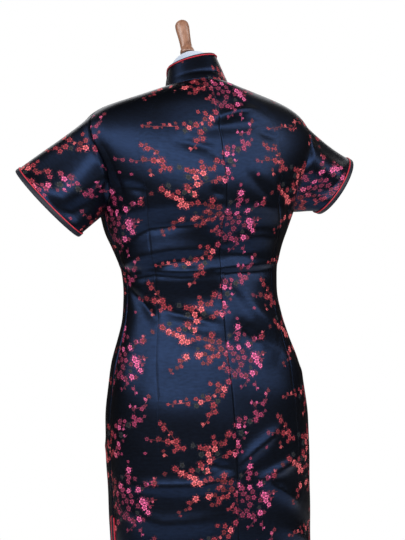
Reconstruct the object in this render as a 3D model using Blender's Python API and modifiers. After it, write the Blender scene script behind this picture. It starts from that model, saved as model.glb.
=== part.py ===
"""A short-sleeved cheongsam dress of brocaded satin, worn on a limbless dress form with a wooden stand.

Metres, +Z up. The form stands on z = 0 with its pole on the Z axis. The dress's front faces -Y, its
back +Y, and the wearer's left side +X. Angles round the body start at the centre back and grow towards
the wearer's left, so the left side seam is at 90 degrees, the centre front at 180 and the right side
seam at 270.
"""

import math

import bmesh
import bpy
import numpy as np
from mathutils import Vector

# Driving sizes, in metres
HEM_Z = 0.400
SLIT_TOP_Z = 0.652
UNDERARM_Z = 1.175
SIDE_NECK_Z = 1.391
STAND_Y = 0.030  # the hips stand this far behind the neck, over the pole
CLOTH = 0.0015  # the thickness of the dress's wall
SEAM = 0.0003  # the gap between two pieces that are sewn together
BINDING_WIDTH = 0.009
PIPING_RADIUS = 0.0011
PIPING_LIFT = 0.0007  # the gap under a piping, whose straight steps cut the cloth's corners
BODY_RADIUS = 0.15  # the body's mean radius, for short ways round it
BACK_RADIUS = 0.10  # and the distance from its axis at the seams of the back and the shoulders
OVER_SHOULDER = 0.26  # the cloth's run from the underarm's level over the shoulder to the neck

# The body's level sections: half its width, its depth behind and before the widest point, and that point's y
SECTION_COLUMNS = ("height", "half_width", "back", "front", "middle_y")
SECTIONS = (
    (0.400, 0.1750, 0.113, 0.110, 0.040),
    (0.600, 0.1810, 0.117, 0.116, 0.036),
    (0.700, 0.1825, 0.119, 0.118, 0.033),
    (0.780, 0.1840, 0.119, 0.121, 0.030),
    (0.850, 0.1795, 0.114, 0.116, 0.027),
    (0.910, 0.1685, 0.103, 0.108, 0.023),
    (0.955, 0.1545, 0.096, 0.101, 0.018),
    (0.990, 0.1440, 0.092, 0.095, 0.014),
    (1.020, 0.1400, 0.087, 0.092, 0.010),
    (1.050, 0.1400, 0.085, 0.092, 0.008),
    (1.082, 0.1430, 0.086, 0.098, 0.004),
    (1.111, 0.1530, 0.093, 0.108, 0.000),
    (1.139, 0.1650, 0.103, 0.117, -0.003),
    (1.175, 0.1750, 0.112, 0.122, 0.000),
)
SQUARENESS = 2.3  # the exponent of a level section, 2 for an ellipse

# The largest folds: where each starts and ends, how far it stands out (or in, below 0) and its half width.
# Along is the distance round the body from the centre back, positive to the wearer's left.
# The columns: along_0, height_0, along_1, height_1, out, half_width.
FOLDS = (
    (0.190, 1.086, -0.110, 1.080, 0.0075, 0.010),
    (0.130, 1.066, 0.000, 1.060, -0.0060, 0.012),
    (0.200, 1.098, 0.120, 1.142, 0.0060, 0.014),
    (0.120, 1.142, 0.000, 1.152, 0.0060, 0.014),
    (0.100, 1.118, 0.000, 1.126, -0.0050, 0.014),
    (-0.045, 1.125, -0.120, 1.132, -0.0060, 0.016),
    (0.000, 1.070, -0.110, 0.960, 0.0070, 0.013),
    (-0.010, 1.020, -0.060, 1.000, -0.0060, 0.016),
    (0.175, 1.036, 0.120, 0.992, -0.0060, 0.013),
    (0.095, 0.998, 0.000, 0.974, -0.0050, 0.012),
    (0.000, 0.712, -0.085, 0.780, 0.0060, 0.014),
    (0.170, 0.690, 0.020, 0.690, 0.0060, 0.012),
    (-0.030, 0.696, -0.120, 0.730, 0.0060, 0.013),
    (0.330, 1.075, 0.540, 1.085, 0.0060, 0.012),
    (0.340, 1.040, 0.430, 1.000, -0.0050, 0.014),
    (0.540, 1.045, 0.460, 0.995, -0.0050, 0.014),
)

# The neck's ring, where the collar is sewn on, and the collar's upper ring
NECK_Y, NECK_SIDE, NECK_BACK, NECK_FRONT = 0.004, 0.0560, 0.054, 0.056
NECK_RISE_BACK, NECK_DROP_FRONT = 0.016, 0.050
COLLAR_X, COLLAR_Y, COLLAR_RADIUS, COLLAR_SIDE_Z = 0.0040, -0.007, 0.0416, 1.439
COLLAR_RISE_BACK, COLLAR_DROP_FRONT = 0.010, 0.049
COLLAR_TILT = 0.008  # how much higher its right side stands than its middle, and its left side lower
COLLAR_WALL = 0.0018
COLLAR_HEIGHT = 0.045
COLLAR_FRONT_GAP = math.radians(2.5)

# The shoulders
SHOULDER_REACH = 0.226
SHOULDER_Z = 1.347
NAPE_TURN_Z = 1.364
CHEST_TURN_Z = 1.292
BLADE_BULGE = 0.009
TIP_RUN = 0.145  # how far up the run over the shoulder its tip lies
ARMHOLE_DIP = math.radians(25)
NECKLINE_INSET = 0.0050
SLEEVE_GAP = 0.0007
SLEEVE_ROOT = (0.19, 1.262)  # the armhole's middle: how far to the side, and how high
OPENING_TOP = math.radians(190)
OPENING_FOOT = 0.0105  # how far above the underarm the slanted opening ends
OPENING_BINDING = 0.006
COLLAR_CORNER = 0.028
BINDING_RADIUS = 0.0013
COLLAR_PIPING_DROP = 0.0022  # how far under the collar's edge its piping runs
UNDERLAP_NECK = math.radians(196)
SLIT_SPREAD = math.radians(3.5)  # how far each side of a slit stands from the side line at the hem
SLIT_END = 0.001  # how far under the slit's top its binding ends
NECKLINE_SHARE = 0.42  # the share of a panel's columns that end at the neckline

# The sleeves: the side, the cuff's middle, half its long way (towards the shoulder) and half its short way
SLEEVES = {
    "left": (1, (0.277, -0.006, 1.193), (0.045, -0.031, 0.057), (0.020, 0.042, -0.003)),
    "right": (-1, (0.280, -0.006, 1.218), (0.043, -0.030, 0.049), (0.006, 0.043, 0.010)),
}

# The frogs: how far up the opening each lies and how high over its piping, their cord, and the knot's
# turned outline
FROG_PLACES = (("frog_chest", 0.62, 0.0), ("frog_underarm", 0.28, -0.0010))
FROG_CORD = 0.0014
FROG_ENDS = (0.0270, 0.0190, 0.0045)
FROG_TAIL = 0.0074  # how far the tail's bow lies from the knot
FROG_STALK = 0.0015
COLLAR_FROG_SHARE = 0.20
KNOT = (
    (0, 0.0106),
    (0.0026, 0.0099),
    (0.0042, 0.0070),
    (0.0030, 0.0044),
    (FROG_STALK, 0.0036),
    (FROG_STALK, 0),
    (0, 0),
)

# The dress form and its stand
FORM_BOTTOM_Z = 0.660
FORM_SLACK = 0.0035
WAIST_SLACK = 0.0085
HIP_SLACK = 0.0045
STUMP_SLACK = 0.012
FORM_GAP = 0.0021
CHEST_GAP = 0.0022  # and behind the slanted opening, where it is cut in long steps
RIDGE_GAP = 0.0042  # more room under the shoulder seam, where the cloth turns sharply
CAP_Y, CAP_Z, CAP_LEAN = -0.034, 1.459, math.radians(25)
POLE_RADIUS = 0.016
BASE_RADIUS, BASE_HEIGHT = 0.150, 0.034
KNOB = (
    (0, 0.069),
    (0.0085, 0.067),
    (0.0122, 0.062),
    (0.0128, 0.054),
    (0.0114, 0.039),
    (0.0104, 0.022),
    (0.0106, 0.011),
    (0.0128, 0.006),
    (0.0132, 0.0),
    (0, 0.0),
)
FOOT = (
    (0, BASE_HEIGHT),
    (0.030, BASE_HEIGHT),
    (0.040, 0.026),
    (0.110, 0.020),
    (0.142, 0.014),
    (BASE_RADIUS, 0.008),
    (BASE_RADIUS, 0.0),
    (0, 0.0),
)

# How finely the pieces are divided
LOW_ROWS = (
    0.400, 0.470, 0.540, 0.600, SLIT_TOP_Z, 0.690, 0.715, 0.750, 0.800, 0.850, 0.905, 0.945, 0.975, 1.000,
    1.028, 1.052, 1.068, 1.084, 1.100, 1.120, 1.145, UNDERARM_Z,
)  # fmt: skip
UP_ROWS = 9
UNDERLAP_ROWS = 6
OPENING_LOW_SHARE = 0.05  # the opening's foot lies this share of the way up the front's upper rows
OPENING_SHARES = [OPENING_LOW_SHARE] + [j / UP_ROWS for j in range(1, UP_ROWS + 1)]
PANEL_COLUMNS = 10
SLIT_STEPS = 6
COLLAR_STEPS = 34
SLEEVE_HALF = 11
SLEEVE_ROWS = 7
RING = 40
FORM_ROWS = (0.670, 0.720, 0.780, 0.840, 0.900, 0.955, 1.000, 1.045, 1.090, 1.135, UNDERARM_Z)
FORM_UP_ROWS = 10

RIGHT_SIDE, LEFT_SIDE, CENTRE_FRONT = math.radians(270), math.radians(90), math.pi
TOP = UNDERARM_Z + OVER_SHOULDER
TIP = UNDERARM_Z + TIP_RUN


def column(table, columns, name):
    """One named column of a table."""
    return np.array([row[columns.index(name)] for row in table])


def smooth_read(x, xs, ys):
    """A value read from a table along a smooth curve through its rows."""
    slopes = np.gradient(ys, xs)
    x = min(max(x, xs[0]), xs[-1])
    i = min(int(np.searchsorted(xs, x, side="right")) - 1, len(xs) - 2)
    h = xs[i + 1] - xs[i]
    t = (x - xs[i]) / h
    return (
        (2 * t**3 - 3 * t**2 + 1) * ys[i]
        + (t**3 - 2 * t**2 + t) * h * slopes[i]
        + (3 * t**2 - 2 * t**3) * ys[i + 1]
        + (t**3 - t**2) * h * slopes[i + 1]
    )


HEIGHTS = column(SECTIONS, SECTION_COLUMNS, "height")
HALF_WIDTHS = column(SECTIONS, SECTION_COLUMNS, "half_width")
BACKS = column(SECTIONS, SECTION_COLUMNS, "back")
FRONTS = column(SECTIONS, SECTION_COLUMNS, "front")
MIDDLES = column(SECTIONS, SECTION_COLUMNS, "middle_y")


def mix(a, b, share):
    return a + (b - a) * share


def ease(t):
    """A smooth step from 0 to 1."""
    t = min(max(t, 0.0), 1.0)
    return t * t * (3 - 2 * t)


def ring_direction(angle):
    """The unit section's point at an angle round the body."""
    s, c = math.sin(angle), math.cos(angle)
    r = (abs(s) ** SQUARENESS + abs(c) ** SQUARENESS) ** (1 / SQUARENESS)
    return s / r, c / r


def neck_point(angle):
    """The ring round the neck where the collar is sewn to the dress."""
    c = math.cos(angle)
    depth = NECK_BACK if c > 0 else NECK_FRONT
    rise = NECK_RISE_BACK * c if c > 0 else -NECK_DROP_FRONT * abs(c) ** 1.5
    return Vector((NECK_SIDE * math.sin(angle), NECK_Y + depth * c - STAND_Y, SIDE_NECK_Z + rise))


def torso(angle, run):
    """A point of the worn dress's inner face, at an angle and a run.

    The run is the height up to the underarm, and then goes over the shoulder to the neck.
    """
    sx, sy = ring_direction(angle)
    z = min(run, UNDERARM_Z)
    depths = BACKS if sy > 0 else FRONTS
    half, depth = smooth_read(z, HEIGHTS, HALF_WIDTHS), smooth_read(z, HEIGHTS, depths)
    middle = smooth_read(z, HEIGHTS, MIDDLES) - STAND_Y
    if run <= UNDERARM_Z:
        return Vector((half * sx, middle + depth * sy, z))
    turn = min((run - UNDERARM_Z) / OVER_SHOULDER, 1.0) * math.pi / 2
    back, front, side = max(math.cos(angle), 0) ** 2, min(math.cos(angle), 0) ** 2, math.sin(angle) ** 2
    power = 2.3 * back + 1.9 * front + mix(2.2, 6.0, side**3) * side
    r = (math.cos(turn) ** power + math.sin(turn) ** power) ** (1 / power)
    inward, upward = math.cos(turn) / r, math.sin(turn) / r
    corner = NAPE_TURN_Z * back + CHEST_TURN_Z * front + SHOULDER_Z * side
    neck = neck_point(angle)
    half += (SHOULDER_REACH - half) * ease(upward / 0.8)
    depth += BLADE_BULGE * back * math.sin(math.pi * math.sqrt(upward))
    outer = Vector((half * sx, middle + depth * sy, 0))
    flat = Vector((neck.x, neck.y, 0)).lerp(outer, inward)
    flat.z = UNDERARM_Z + (corner - UNDERARM_Z) * upward + (neck.z - corner) * (1 - inward)
    return flat


def outward(angle, run):
    """The direction straight out of the dress."""
    step = 1e-3
    low = min(run, TOP - step)
    up = torso(angle, low + step) - torso(angle, low - step)
    across = torso(angle + step, low) - torso(angle - step, low)
    return up.cross(across).normalized()


def fold_height(angle, run):
    """How far the folds lift the cloth or let it sink."""
    along = ((angle + math.pi) % (2 * math.pi) - math.pi) * BODY_RADIUS
    if along < -LEFT_SIDE * BODY_RADIUS:
        along += 2 * math.pi * BODY_RADIUS
    total = 0.0
    for along_0, height_0, along_1, height_1, out, half_width in FOLDS:
        d = (along_1 - along_0, height_1 - height_0)
        t = ((along - along_0) * d[0] + (run - height_0) * d[1]) / (d[0] ** 2 + d[1] ** 2)
        t = min(max(t, 0.0), 1.0)
        away = math.hypot(along - along_0 - t * d[0], run - height_0 - t * d[1])
        total += out * math.exp(-((away / half_width) ** 2)) * math.sin(math.pi * mix(0.12, 0.88, t))
    return total


def cloth(angle, run, out=0.0):
    """A point of the dress, out metres outside its inner face."""
    return torso(angle, run) + outward(angle, run) * (out + fold_height(angle, run))


def arc(angle, metres):
    """The angle of a short way round the body."""
    step = 1e-3
    return metres * step / (torso(angle + step, UNDERARM_Z) - torso(angle, UNDERARM_Z)).length


def collar_face(angle, share):
    """A point of the collar's inner face, share of the way up it."""
    low = neck_point(angle)
    low.z += SEAM
    c = math.cos(angle)
    rise = COLLAR_RISE_BACK * c if c > 0 else -COLLAR_DROP_FRONT * abs(c) ** 1.6
    x, y = COLLAR_X + COLLAR_RADIUS * math.sin(angle), COLLAR_Y - STAND_Y + COLLAR_RADIUS * c
    high = Vector((x, y, COLLAR_SIDE_Z + rise - COLLAR_TILT * math.sin(angle)))
    return low.lerp(high, share)


def collar_outward(angle, share):
    step = 1e-3
    across = collar_face(angle + step, share) - collar_face(angle - step, share)
    return (collar_face(angle, share + step) - collar_face(angle, share - step)).cross(across).normalized()


def collar_point(angle, share, out=0.0):
    """A point of the collar, out metres outside its inner face."""
    return collar_face(angle, share) + collar_outward(angle, share) * out


def patch(bottom, top, left, right, t, h):
    """A Coons patch between four edges, each a function from 0 to 1 that gives an angle and a run."""
    b, u, a, z = (np.array(edge) for edge in (bottom(t), top(t), left(h), right(h)))
    corners = (
        np.array(bottom(0)) * (1 - t) * (1 - h)
        + np.array(bottom(1)) * t * (1 - h)
        + np.array(top(0)) * (1 - t) * h
        + np.array(top(1)) * t * h
    )
    return b * (1 - h) + u * h + a * (1 - t) + z * t - corners


# Building blocks


def collection(name):
    c = bpy.data.collections.new(name)
    bpy.context.scene.collection.children.link(c)
    return c


def material(name, colour, roughness, metallic=0.0):
    m = bpy.data.materials.new(name)
    m.use_nodes = True
    shader = m.node_tree.nodes["Principled BSDF"]
    shader.inputs["Base Color"].default_value = (*colour, 1)
    shader.inputs["Roughness"].default_value = roughness
    shader.inputs["Metallic"].default_value = metallic
    return m


def add(name, data, look, where):
    """Puts a mesh or curve in the collection as the sub-part of that name."""
    o = bpy.data.objects.new(name, data)
    data.materials.append(look)
    where.objects.link(o)
    return o


def grid_mesh(name, rows, closed=False):
    """A mesh of four-sided faces through rows of points, which climb and run so that it faces outwards."""
    bm = bmesh.new()
    verts = [[bm.verts.new(p) for p in row] for row in rows]
    for low, high in zip(verts, verts[1:]):
        for i in range(len(low) if closed else len(low) - 1):
            k = (i + 1) % len(low)
            bm.faces.new((low[k], low[i], high[i], high[k]))
    data = bpy.data.meshes.new(name)
    bm.to_mesh(data)
    bm.free()
    data.shade_smooth()
    return data


def wall(name, rows, thickness, look, where, side=1, closed=False):
    """A cloth wall over a grid of points: outside it with side 1, inside it with side -1."""
    o = add(name, grid_mesh(name, rows, closed), look, where)
    s = o.modifiers.new("thickness", "SOLIDIFY")
    s.thickness = thickness
    s.offset = side
    return o


def tube(name, points, radius, look, where, cyclic=False):
    """A round cord through points."""
    data = bpy.data.curves.new(name, "CURVE")
    data.dimensions = "3D"
    data.bevel_depth = radius
    data.bevel_resolution = 1
    data.use_fill_caps = not cyclic
    line = data.splines.new("POLY")
    line.points.add(len(points) - 1)
    for p, q in zip(line.points, points):
        p.co = (*q, 1)
    line.use_cyclic_u = cyclic
    return add(name, data, look, where)


def turned(name, profile, steps, look, where):
    """A turned solid. The profile runs down its outer side, from the top of the axis to the bottom."""
    bm = bmesh.new()
    verts = [bm.verts.new((r, 0, z)) for r, z in profile]
    for a, b in zip(verts, verts[1:]):
        bm.edges.new((a, b))
    data = bpy.data.meshes.new(name)
    bm.to_mesh(data)
    bm.free()
    o = add(name, data, look, where)
    s = o.modifiers.new("turning", "SCREW")
    s.steps = s.render_steps = steps
    s.use_merge_vertices = True
    s.merge_threshold = 1e-5
    return o


# The panels


def slit_angle(side_angle, sign, z):
    """Where a panel ends at its side: at the seam, and below the slit's top a little farther from it."""
    open_share = ease((SLIT_TOP_Z - z) / (SLIT_TOP_Z - HEM_Z))
    return side_angle - sign * (SEAM / 2 / BODY_RADIUS + SLIT_SPREAD * open_share)


def armhole(side_angle, sign, h):
    """The armhole's edge, from the underarm to the shoulder's tip."""
    angle = side_angle - sign * (ARMHOLE_DIP * math.sin(math.pi * h) ** 0.8 + SEAM / 2 / BODY_RADIUS)
    return angle, mix(UNDERARM_Z, TIP, h)


def neck_and_shoulder(mid_angle, side_angle, sign, t):
    """A panel's top edge: the neckline up to the side of the neck, then the shoulder seam out to its tip."""
    side = side_angle - sign * SEAM / 2 / BACK_RADIUS
    edge = TOP - NECKLINE_INSET
    if t < NECKLINE_SHARE:
        return mix(mid_angle, side, t / NECKLINE_SHARE), edge
    return side, mix(edge, TIP, (t - NECKLINE_SHARE) / (1 - NECKLINE_SHARE))


def low_rows(mid_angle, side_angle, sign):
    """The angles and runs of a half panel's rows from its hem to the underarm, inside its bindings."""
    rows = []
    inset = arc(side_angle, BINDING_WIDTH + SEAM)
    heights = [(z, True) for z in LOW_ROWS if z < SLIT_TOP_Z] + [(SLIT_TOP_Z - SEAM, True)]
    heights[0] = (HEM_Z + BINDING_WIDTH + SEAM, True)
    heights += [(z, False) for z in LOW_ROWS if z >= SLIT_TOP_Z]
    for z, bound in heights:
        end = slit_angle(side_angle, sign, z) - (sign * inset if bound else 0)
        rows.append([(mix(mid_angle, end, i / PANEL_COLUMNS), z) for i in range(PANEL_COLUMNS + 1)])
    return rows


def high_rows(mid_angle, side_angle, sign, shares):
    """The rows of a half panel from the underarm up to its neckline and shoulder, at shares of the way."""
    rows = []
    for share in shares:
        rows.append(
            [
                tuple(
                    patch(
                        lambda t: (mix(mid_angle, slit_angle(side_angle, sign, UNDERARM_Z), t), UNDERARM_Z),
                        lambda t: neck_and_shoulder(mid_angle, side_angle, sign, t),
                        lambda h: (mid_angle, mix(UNDERARM_Z, TOP - NECKLINE_INSET, h)),
                        lambda h: armhole(side_angle, sign, h),
                        i / PANEL_COLUMNS,
                        share,
                    )
                )
                for i in range(PANEL_COLUMNS + 1)
            ]
        )
    return rows


def on_cloth(rows, out=0.0):
    return [[cloth(angle, run, out) for angle, run in row] for row in rows]


def back_panels(look, where):
    """The two halves of the back, with the centre-back seam between them."""
    seam = SEAM / 2 / BACK_RADIUS
    shares = [j / UP_ROWS for j in range(1, UP_ROWS + 1)]
    left = low_rows(seam, LEFT_SIDE, 1) + high_rows(seam, LEFT_SIDE, 1, shares)
    wall("back_left", on_cloth(left), CLOTH, look, where)
    right = low_rows(-seam, -LEFT_SIDE, -1) + high_rows(-seam, -LEFT_SIDE, -1, shares)
    wall("back_right", [row[::-1] for row in on_cloth(right)], CLOTH, look, where)


def opening(h):
    """The slanted front opening, from the right armhole up to the neckline beside the centre front."""
    low_angle, _ = armhole(RIGHT_SIDE, 1, OPENING_FOOT / TIP_RUN)
    return (
        mix(OPENING_TOP, low_angle, (1 - h) ** 1.8),
        mix(UNDERARM_Z + OPENING_FOOT, TOP - NECKLINE_INSET, h),
    )


def opening_beside(h, metres):
    """A point beside the opening, metres to the wearer's left of it and below."""
    angle, run = opening(h)
    (low_angle, low_run), (high_angle, high_run) = opening(max(h - 1e-3, 0.0)), opening(min(h + 1e-3, 1.0))
    across = (torso(angle + 1e-3, run) - torso(angle, run)).length / 1e-3
    d = Vector(((high_angle - low_angle) * across, high_run - low_run)).normalized()
    return angle - d.y * metres / across, run + d.x * metres


def along_opening(share):
    """The way up the opening that meets a front row's share of the way up."""
    return (share - OPENING_LOW_SHARE) / (1 - OPENING_LOW_SHARE)


def front_panels(look, where):
    """The whole front, cut away along the slanted opening, and the underlap that fills the right shoulder."""
    left_low, right_low = low_rows(CENTRE_FRONT, LEFT_SIDE, -1), low_rows(CENTRE_FRONT, RIGHT_SIDE, 1)
    rows = [left[::-1] + right[1:] for left, right in zip(left_low, right_low)]
    for share, left in zip(OPENING_SHARES, high_rows(CENTRE_FRONT, LEFT_SIDE, -1, OPENING_SHARES)):
        angle, run = opening_beside(along_opening(share), OPENING_BINDING + SEAM)
        steps = [i / PANEL_COLUMNS for i in range(1, PANEL_COLUMNS + 1)]
        rows.append(left[::-1] + [(mix(CENTRE_FRONT, angle, t), mix(left[0][1], run, t)) for t in steps])
    wall("front", on_cloth(rows), CLOTH, look, where)
    lower = [opening_beside(along_opening(share), -SEAM) for share in OPENING_SHARES[::-1]]
    last = len(lower) - 1
    first_top = np.array(neck_and_shoulder(UNDERLAP_NECK, RIGHT_SIDE, 1, 0))
    foot = (OPENING_FOOT + SEAM) / TIP_RUN
    slip = np.array(lower[-1]) - armhole(RIGHT_SIDE, 1, foot)
    rows = []
    for j in range(UNDERLAP_ROWS + 1):
        up = j / UNDERLAP_ROWS
        rows.append(
            [
                tuple(
                    patch(
                        lambda t: lower[round(t * last)],
                        lambda t: neck_and_shoulder(UNDERLAP_NECK, RIGHT_SIDE, 1, t),
                        lambda h: np.array(lower[0]) * (1 - h) + first_top * h,
                        lambda h: armhole(RIGHT_SIDE, 1, mix(foot, 1, h)) + slip * (1 - h),
                        i / last,
                        up,
                    )
                )
                for i in range(last + 1)
            ]
        )
    wall("underlap", on_cloth(rows), CLOTH, look, where)


def opening_trims(satin, red, where):
    """The binding along the front's slanted edge, and the piping along the binding's inner side."""
    shares = [along_opening(share) for share in OPENING_SHARES[::-1]]
    rows = [[opening_beside(h, w) for h in shares] for w in (OPENING_BINDING, 0.0)]
    wall("opening_binding", on_cloth(rows), CLOTH, satin, where)
    out = CLOTH + PIPING_RADIUS + PIPING_LIFT
    points = [cloth(*opening_beside(h, OPENING_BINDING), out) for h in shares]
    tube("opening_piping", points, PIPING_RADIUS, red, where)


def hem_path(mid_angle, depth):
    """The way round a skirt panel's free edges at a depth inside them: down a slit, the hem, up a slit."""
    sides = ((LEFT_SIDE, 1), (-LEFT_SIDE, -1)) if mid_angle == 0 else ((LEFT_SIDE, -1), (RIGHT_SIDE, 1))
    ends = []
    for side_angle, sign in sides:
        inset = sign * arc(side_angle, depth)
        zs = [mix(SLIT_TOP_Z - SLIT_END, HEM_Z + depth, i / SLIT_STEPS) for i in range(SLIT_STEPS + 1)]
        ends.append([(slit_angle(side_angle, sign, z) - inset, z) for z in zs])
    (a0, z0), (a1, _) = ends[0][-1], ends[1][-1]
    across = 2 * PANEL_COLUMNS
    hem = [(mix(a0, a1, i / across), z0) for i in range(1, across)]
    return ends[0] + hem + ends[1][::-1]


def hem_trims(satin, red, where):
    """Bindings and pipings round the free edges of the skirt's front and back."""
    out = CLOTH + PIPING_RADIUS + PIPING_LIFT
    for name, mid_angle in (("back", 0.0), ("front", CENTRE_FRONT)):
        inner, outer = hem_path(mid_angle, BINDING_WIDTH), hem_path(mid_angle, 0.0)
        rows = [inner, outer] if mid_angle == 0 else [outer, inner]
        wall(f"hem_binding_{name}", on_cloth(rows), CLOTH, satin, where)
        points = [cloth(a, r, out) for a, r in inner]
        tube(f"hem_piping_{name}", points, PIPING_RADIUS, red, where)


# The sleeves


def armhole_ring(side):
    """The places round an armhole, from the underarm up the back and down the front."""
    side_angle = LEFT_SIDE if side > 0 else RIGHT_SIDE
    hs = [i / SLEEVE_HALF for i in range(SLEEVE_HALF + 1)]
    back = [armhole(side_angle, side, h) for h in hs]
    front = [armhole(side_angle, -side, h) for h in hs[::-1]]
    bottom = ((back[0][0] + front[-1][0]) / 2, back[0][1])
    tip = ((back[-1][0] + front[0][0]) / 2, back[-1][1])
    return [bottom] + back[1:-1] + [tip] + front[1:-1]


def sleeve_ribs(name):
    """For each place round a sleeve, the four points of the curve on its outer face, from armhole to cuff."""
    side, *ways = SLEEVES[name]
    middle, long_way, short_way = (Vector((side * x, y, z)) for x, y, z in ways)
    middle.y -= STAND_Y
    root_x, root_z = SLEEVE_ROOT
    axis = (middle - Vector((side * root_x, -STAND_Y, root_z))).normalized()
    ring = armhole_ring(side)
    ribs = []
    for i, (angle, run) in enumerate(ring):
        turn = 2 * math.pi * i / len(ring)
        out = Vector((side, 0, -0.85 + 0.15 * math.cos(turn))).normalized()
        start = cloth(angle, run, CLOTH) + out * SLEEVE_GAP
        end = middle - long_way * math.cos(turn) + short_way * math.sin(turn)
        reach = (end - start).length
        ribs.append((start, start + out * reach * 0.24, end - axis * reach * 0.30, end))
    return ribs


def rib_point(rib, t):
    a, b, c, d = rib
    u = 1 - t
    return a * u**3 + b * 3 * u * u * t + c * 3 * u * t * t + d * t**3


def sleeve_pieces(name, brocade, satin, red, where):
    """A sleeve, the binding that finishes its cuff and the piping between them."""
    side = SLEEVES[name][0]
    ribs = sleeve_ribs(name)
    if side < 0:
        ribs = ribs[::-1]
    lengths = [(rib[3] - rib[0]).length for rib in ribs]
    ends = [1 - BINDING_WIDTH / length for length in lengths]
    gaps = [SEAM / length for length in lengths]
    shares = [i / SLEEVE_ROWS for i in range(SLEEVE_ROWS + 1)]
    rows = [[rib_point(rib, (end - gap) * s) for rib, end, gap in zip(ribs, ends, gaps)] for s in shares]
    wall(f"sleeve_{name}", rows[::-1], CLOTH, brocade, where, side=-1, closed=True)
    rows = [[rib_point(rib, mix(end, 1, s)) for rib, end in zip(ribs, ends)] for s in (0, 1)]
    wall(f"cuff_binding_{name}", rows[::-1], CLOTH, satin, where, side=-1, closed=True)
    centre = sum((rib[3] for rib in ribs), Vector()) / len(ribs)
    points = []
    for rib, end in zip(ribs, ends):
        p = rib_point(rib, end)
        points.append(p + (p - centre).normalized() * (PIPING_RADIUS + PIPING_LIFT))
    tube(f"cuff_piping_{name}", points, PIPING_RADIUS, red, where, cyclic=True)


# The collar


def collar_top(angle):
    """The share of the collar's height at an angle, less towards its rounded front corners."""
    from_edge = (math.pi - COLLAR_FRONT_GAP - abs(angle)) * COLLAR_RADIUS
    if from_edge >= COLLAR_CORNER:
        return 1.0
    drop = COLLAR_CORNER - math.sqrt(max(COLLAR_CORNER**2 - (COLLAR_CORNER - from_edge) ** 2, 0))
    return 1 - drop / COLLAR_HEIGHT


def collar_pieces(brocade, satin, red, where):
    """The standing collar, with a cord of binding on its edge and piping just under it."""
    last = math.pi - COLLAR_FRONT_GAP
    angles = [last * math.sin(math.pi / 2 * (2 * i / COLLAR_STEPS - 1)) for i in range(COLLAR_STEPS + 1)]
    rows = [[collar_point(a, collar_top(a) * s / 3) for a in angles] for s in range(4)]
    wall("collar", rows, COLLAR_WALL, brocade, where)
    rim, line = [], []
    for a in angles:
        edge, step = collar_point(a, collar_top(a)), 1e-3
        ahead, behind = min(a + step, last), max(a - step, -last)
        run = collar_point(ahead, collar_top(ahead)) - collar_point(behind, collar_top(behind))
        out = collar_outward(a, collar_top(a))
        up = run.cross(out).normalized()
        rim.append(edge + up * (BINDING_RADIUS + PIPING_LIFT) + out * COLLAR_WALL / 2)
        line.append(edge - up * COLLAR_PIPING_DROP + out * (COLLAR_WALL + PIPING_RADIUS + PIPING_LIFT))
    tube("collar_binding", rim, BINDING_RADIUS, satin, where)
    tube("collar_piping", line, PIPING_RADIUS, red, where)


# The frogs that close the front


def frog(name, lay, lift, slack, satin, where):
    """A knot button on its neck, the loop round the neck, and the two cords on the button's own side.

    lay gives the point at x across the opening, y along it and z out of the cloth. slack is the loop's room.
    """
    outside = (lay(0, 0, 0.01) - lay(0, 0, 0)).normalized()
    knot = turned(f"{name}_knot", KNOT, 10, satin, where)
    knot.rotation_mode = "QUATERNION"
    knot.rotation_quaternion = outside.to_track_quat("Z", "Y")
    knot.location = lay(0, 0, lift)
    for piece, way, middle, bend in (
        ("loop", 1, 0.0, FROG_STALK + FROG_CORD + slack),
        ("tail", -1, FROG_TAIL + slack, FROG_CORD + SEAM),
    ):
        far, half, near = FROG_ENDS
        legs = [(x, FROG_CORD + SEAM) for x in (far, half, middle + near)]
        turns = [math.radians(mix(50, 310, i / 7)) for i in range(8)]
        bow = [(middle + bend * math.cos(t), bend * math.sin(t)) for t in turns]
        line = legs + bow + [(x, -y) for x, y in legs[::-1]]
        tube(f"{name}_{piece}", [lay(way * x, y, lift + FROG_CORD) for x, y in line], FROG_CORD, satin, where)


def cloth_frame(place, x_way, y_way):
    """The function that gives the point x and y metres from a place on the dress, and z out of it."""
    step = 1e-3
    angle, run = place
    turning = (torso(angle + step, run) - torso(angle, run)) / step
    climbing = (torso(angle, run + step) - torso(angle, run)) / step
    slopes = np.array([turning, climbing]).T

    def lay(x, y, z):
        turn, climb = np.linalg.lstsq(slopes, np.array(x_way * x + y_way * y), rcond=None)[0]
        return cloth(angle + turn, run + climb, CLOTH + z)

    return lay


def frogs(satin, where):
    """Three frogs: at the collar's foot, on the chest and towards the underarm."""
    for name, h, over in FROG_PLACES:
        place = opening_beside(h, OPENING_BINDING / 2)
        ahead = opening_beside(h + 0.02, OPENING_BINDING / 2)
        along = (torso(*ahead) - torso(*place)).normalized()
        lay = cloth_frame(place, outward(*place).cross(along), along)
        frog(name, lay, 2 * PIPING_RADIUS + PIPING_LIFT + over, 2 * SEAM, satin, where)

    def lay_on_collar(x, y, z):
        share = COLLAR_FROG_SHARE + y / COLLAR_HEIGHT
        return collar_point(math.pi + x / NECK_FRONT, share, COLLAR_WALL + z)

    frog("frog_collar", lay_on_collar, 2 * SEAM, SEAM, satin, where)


# The dress form and its stand


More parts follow.
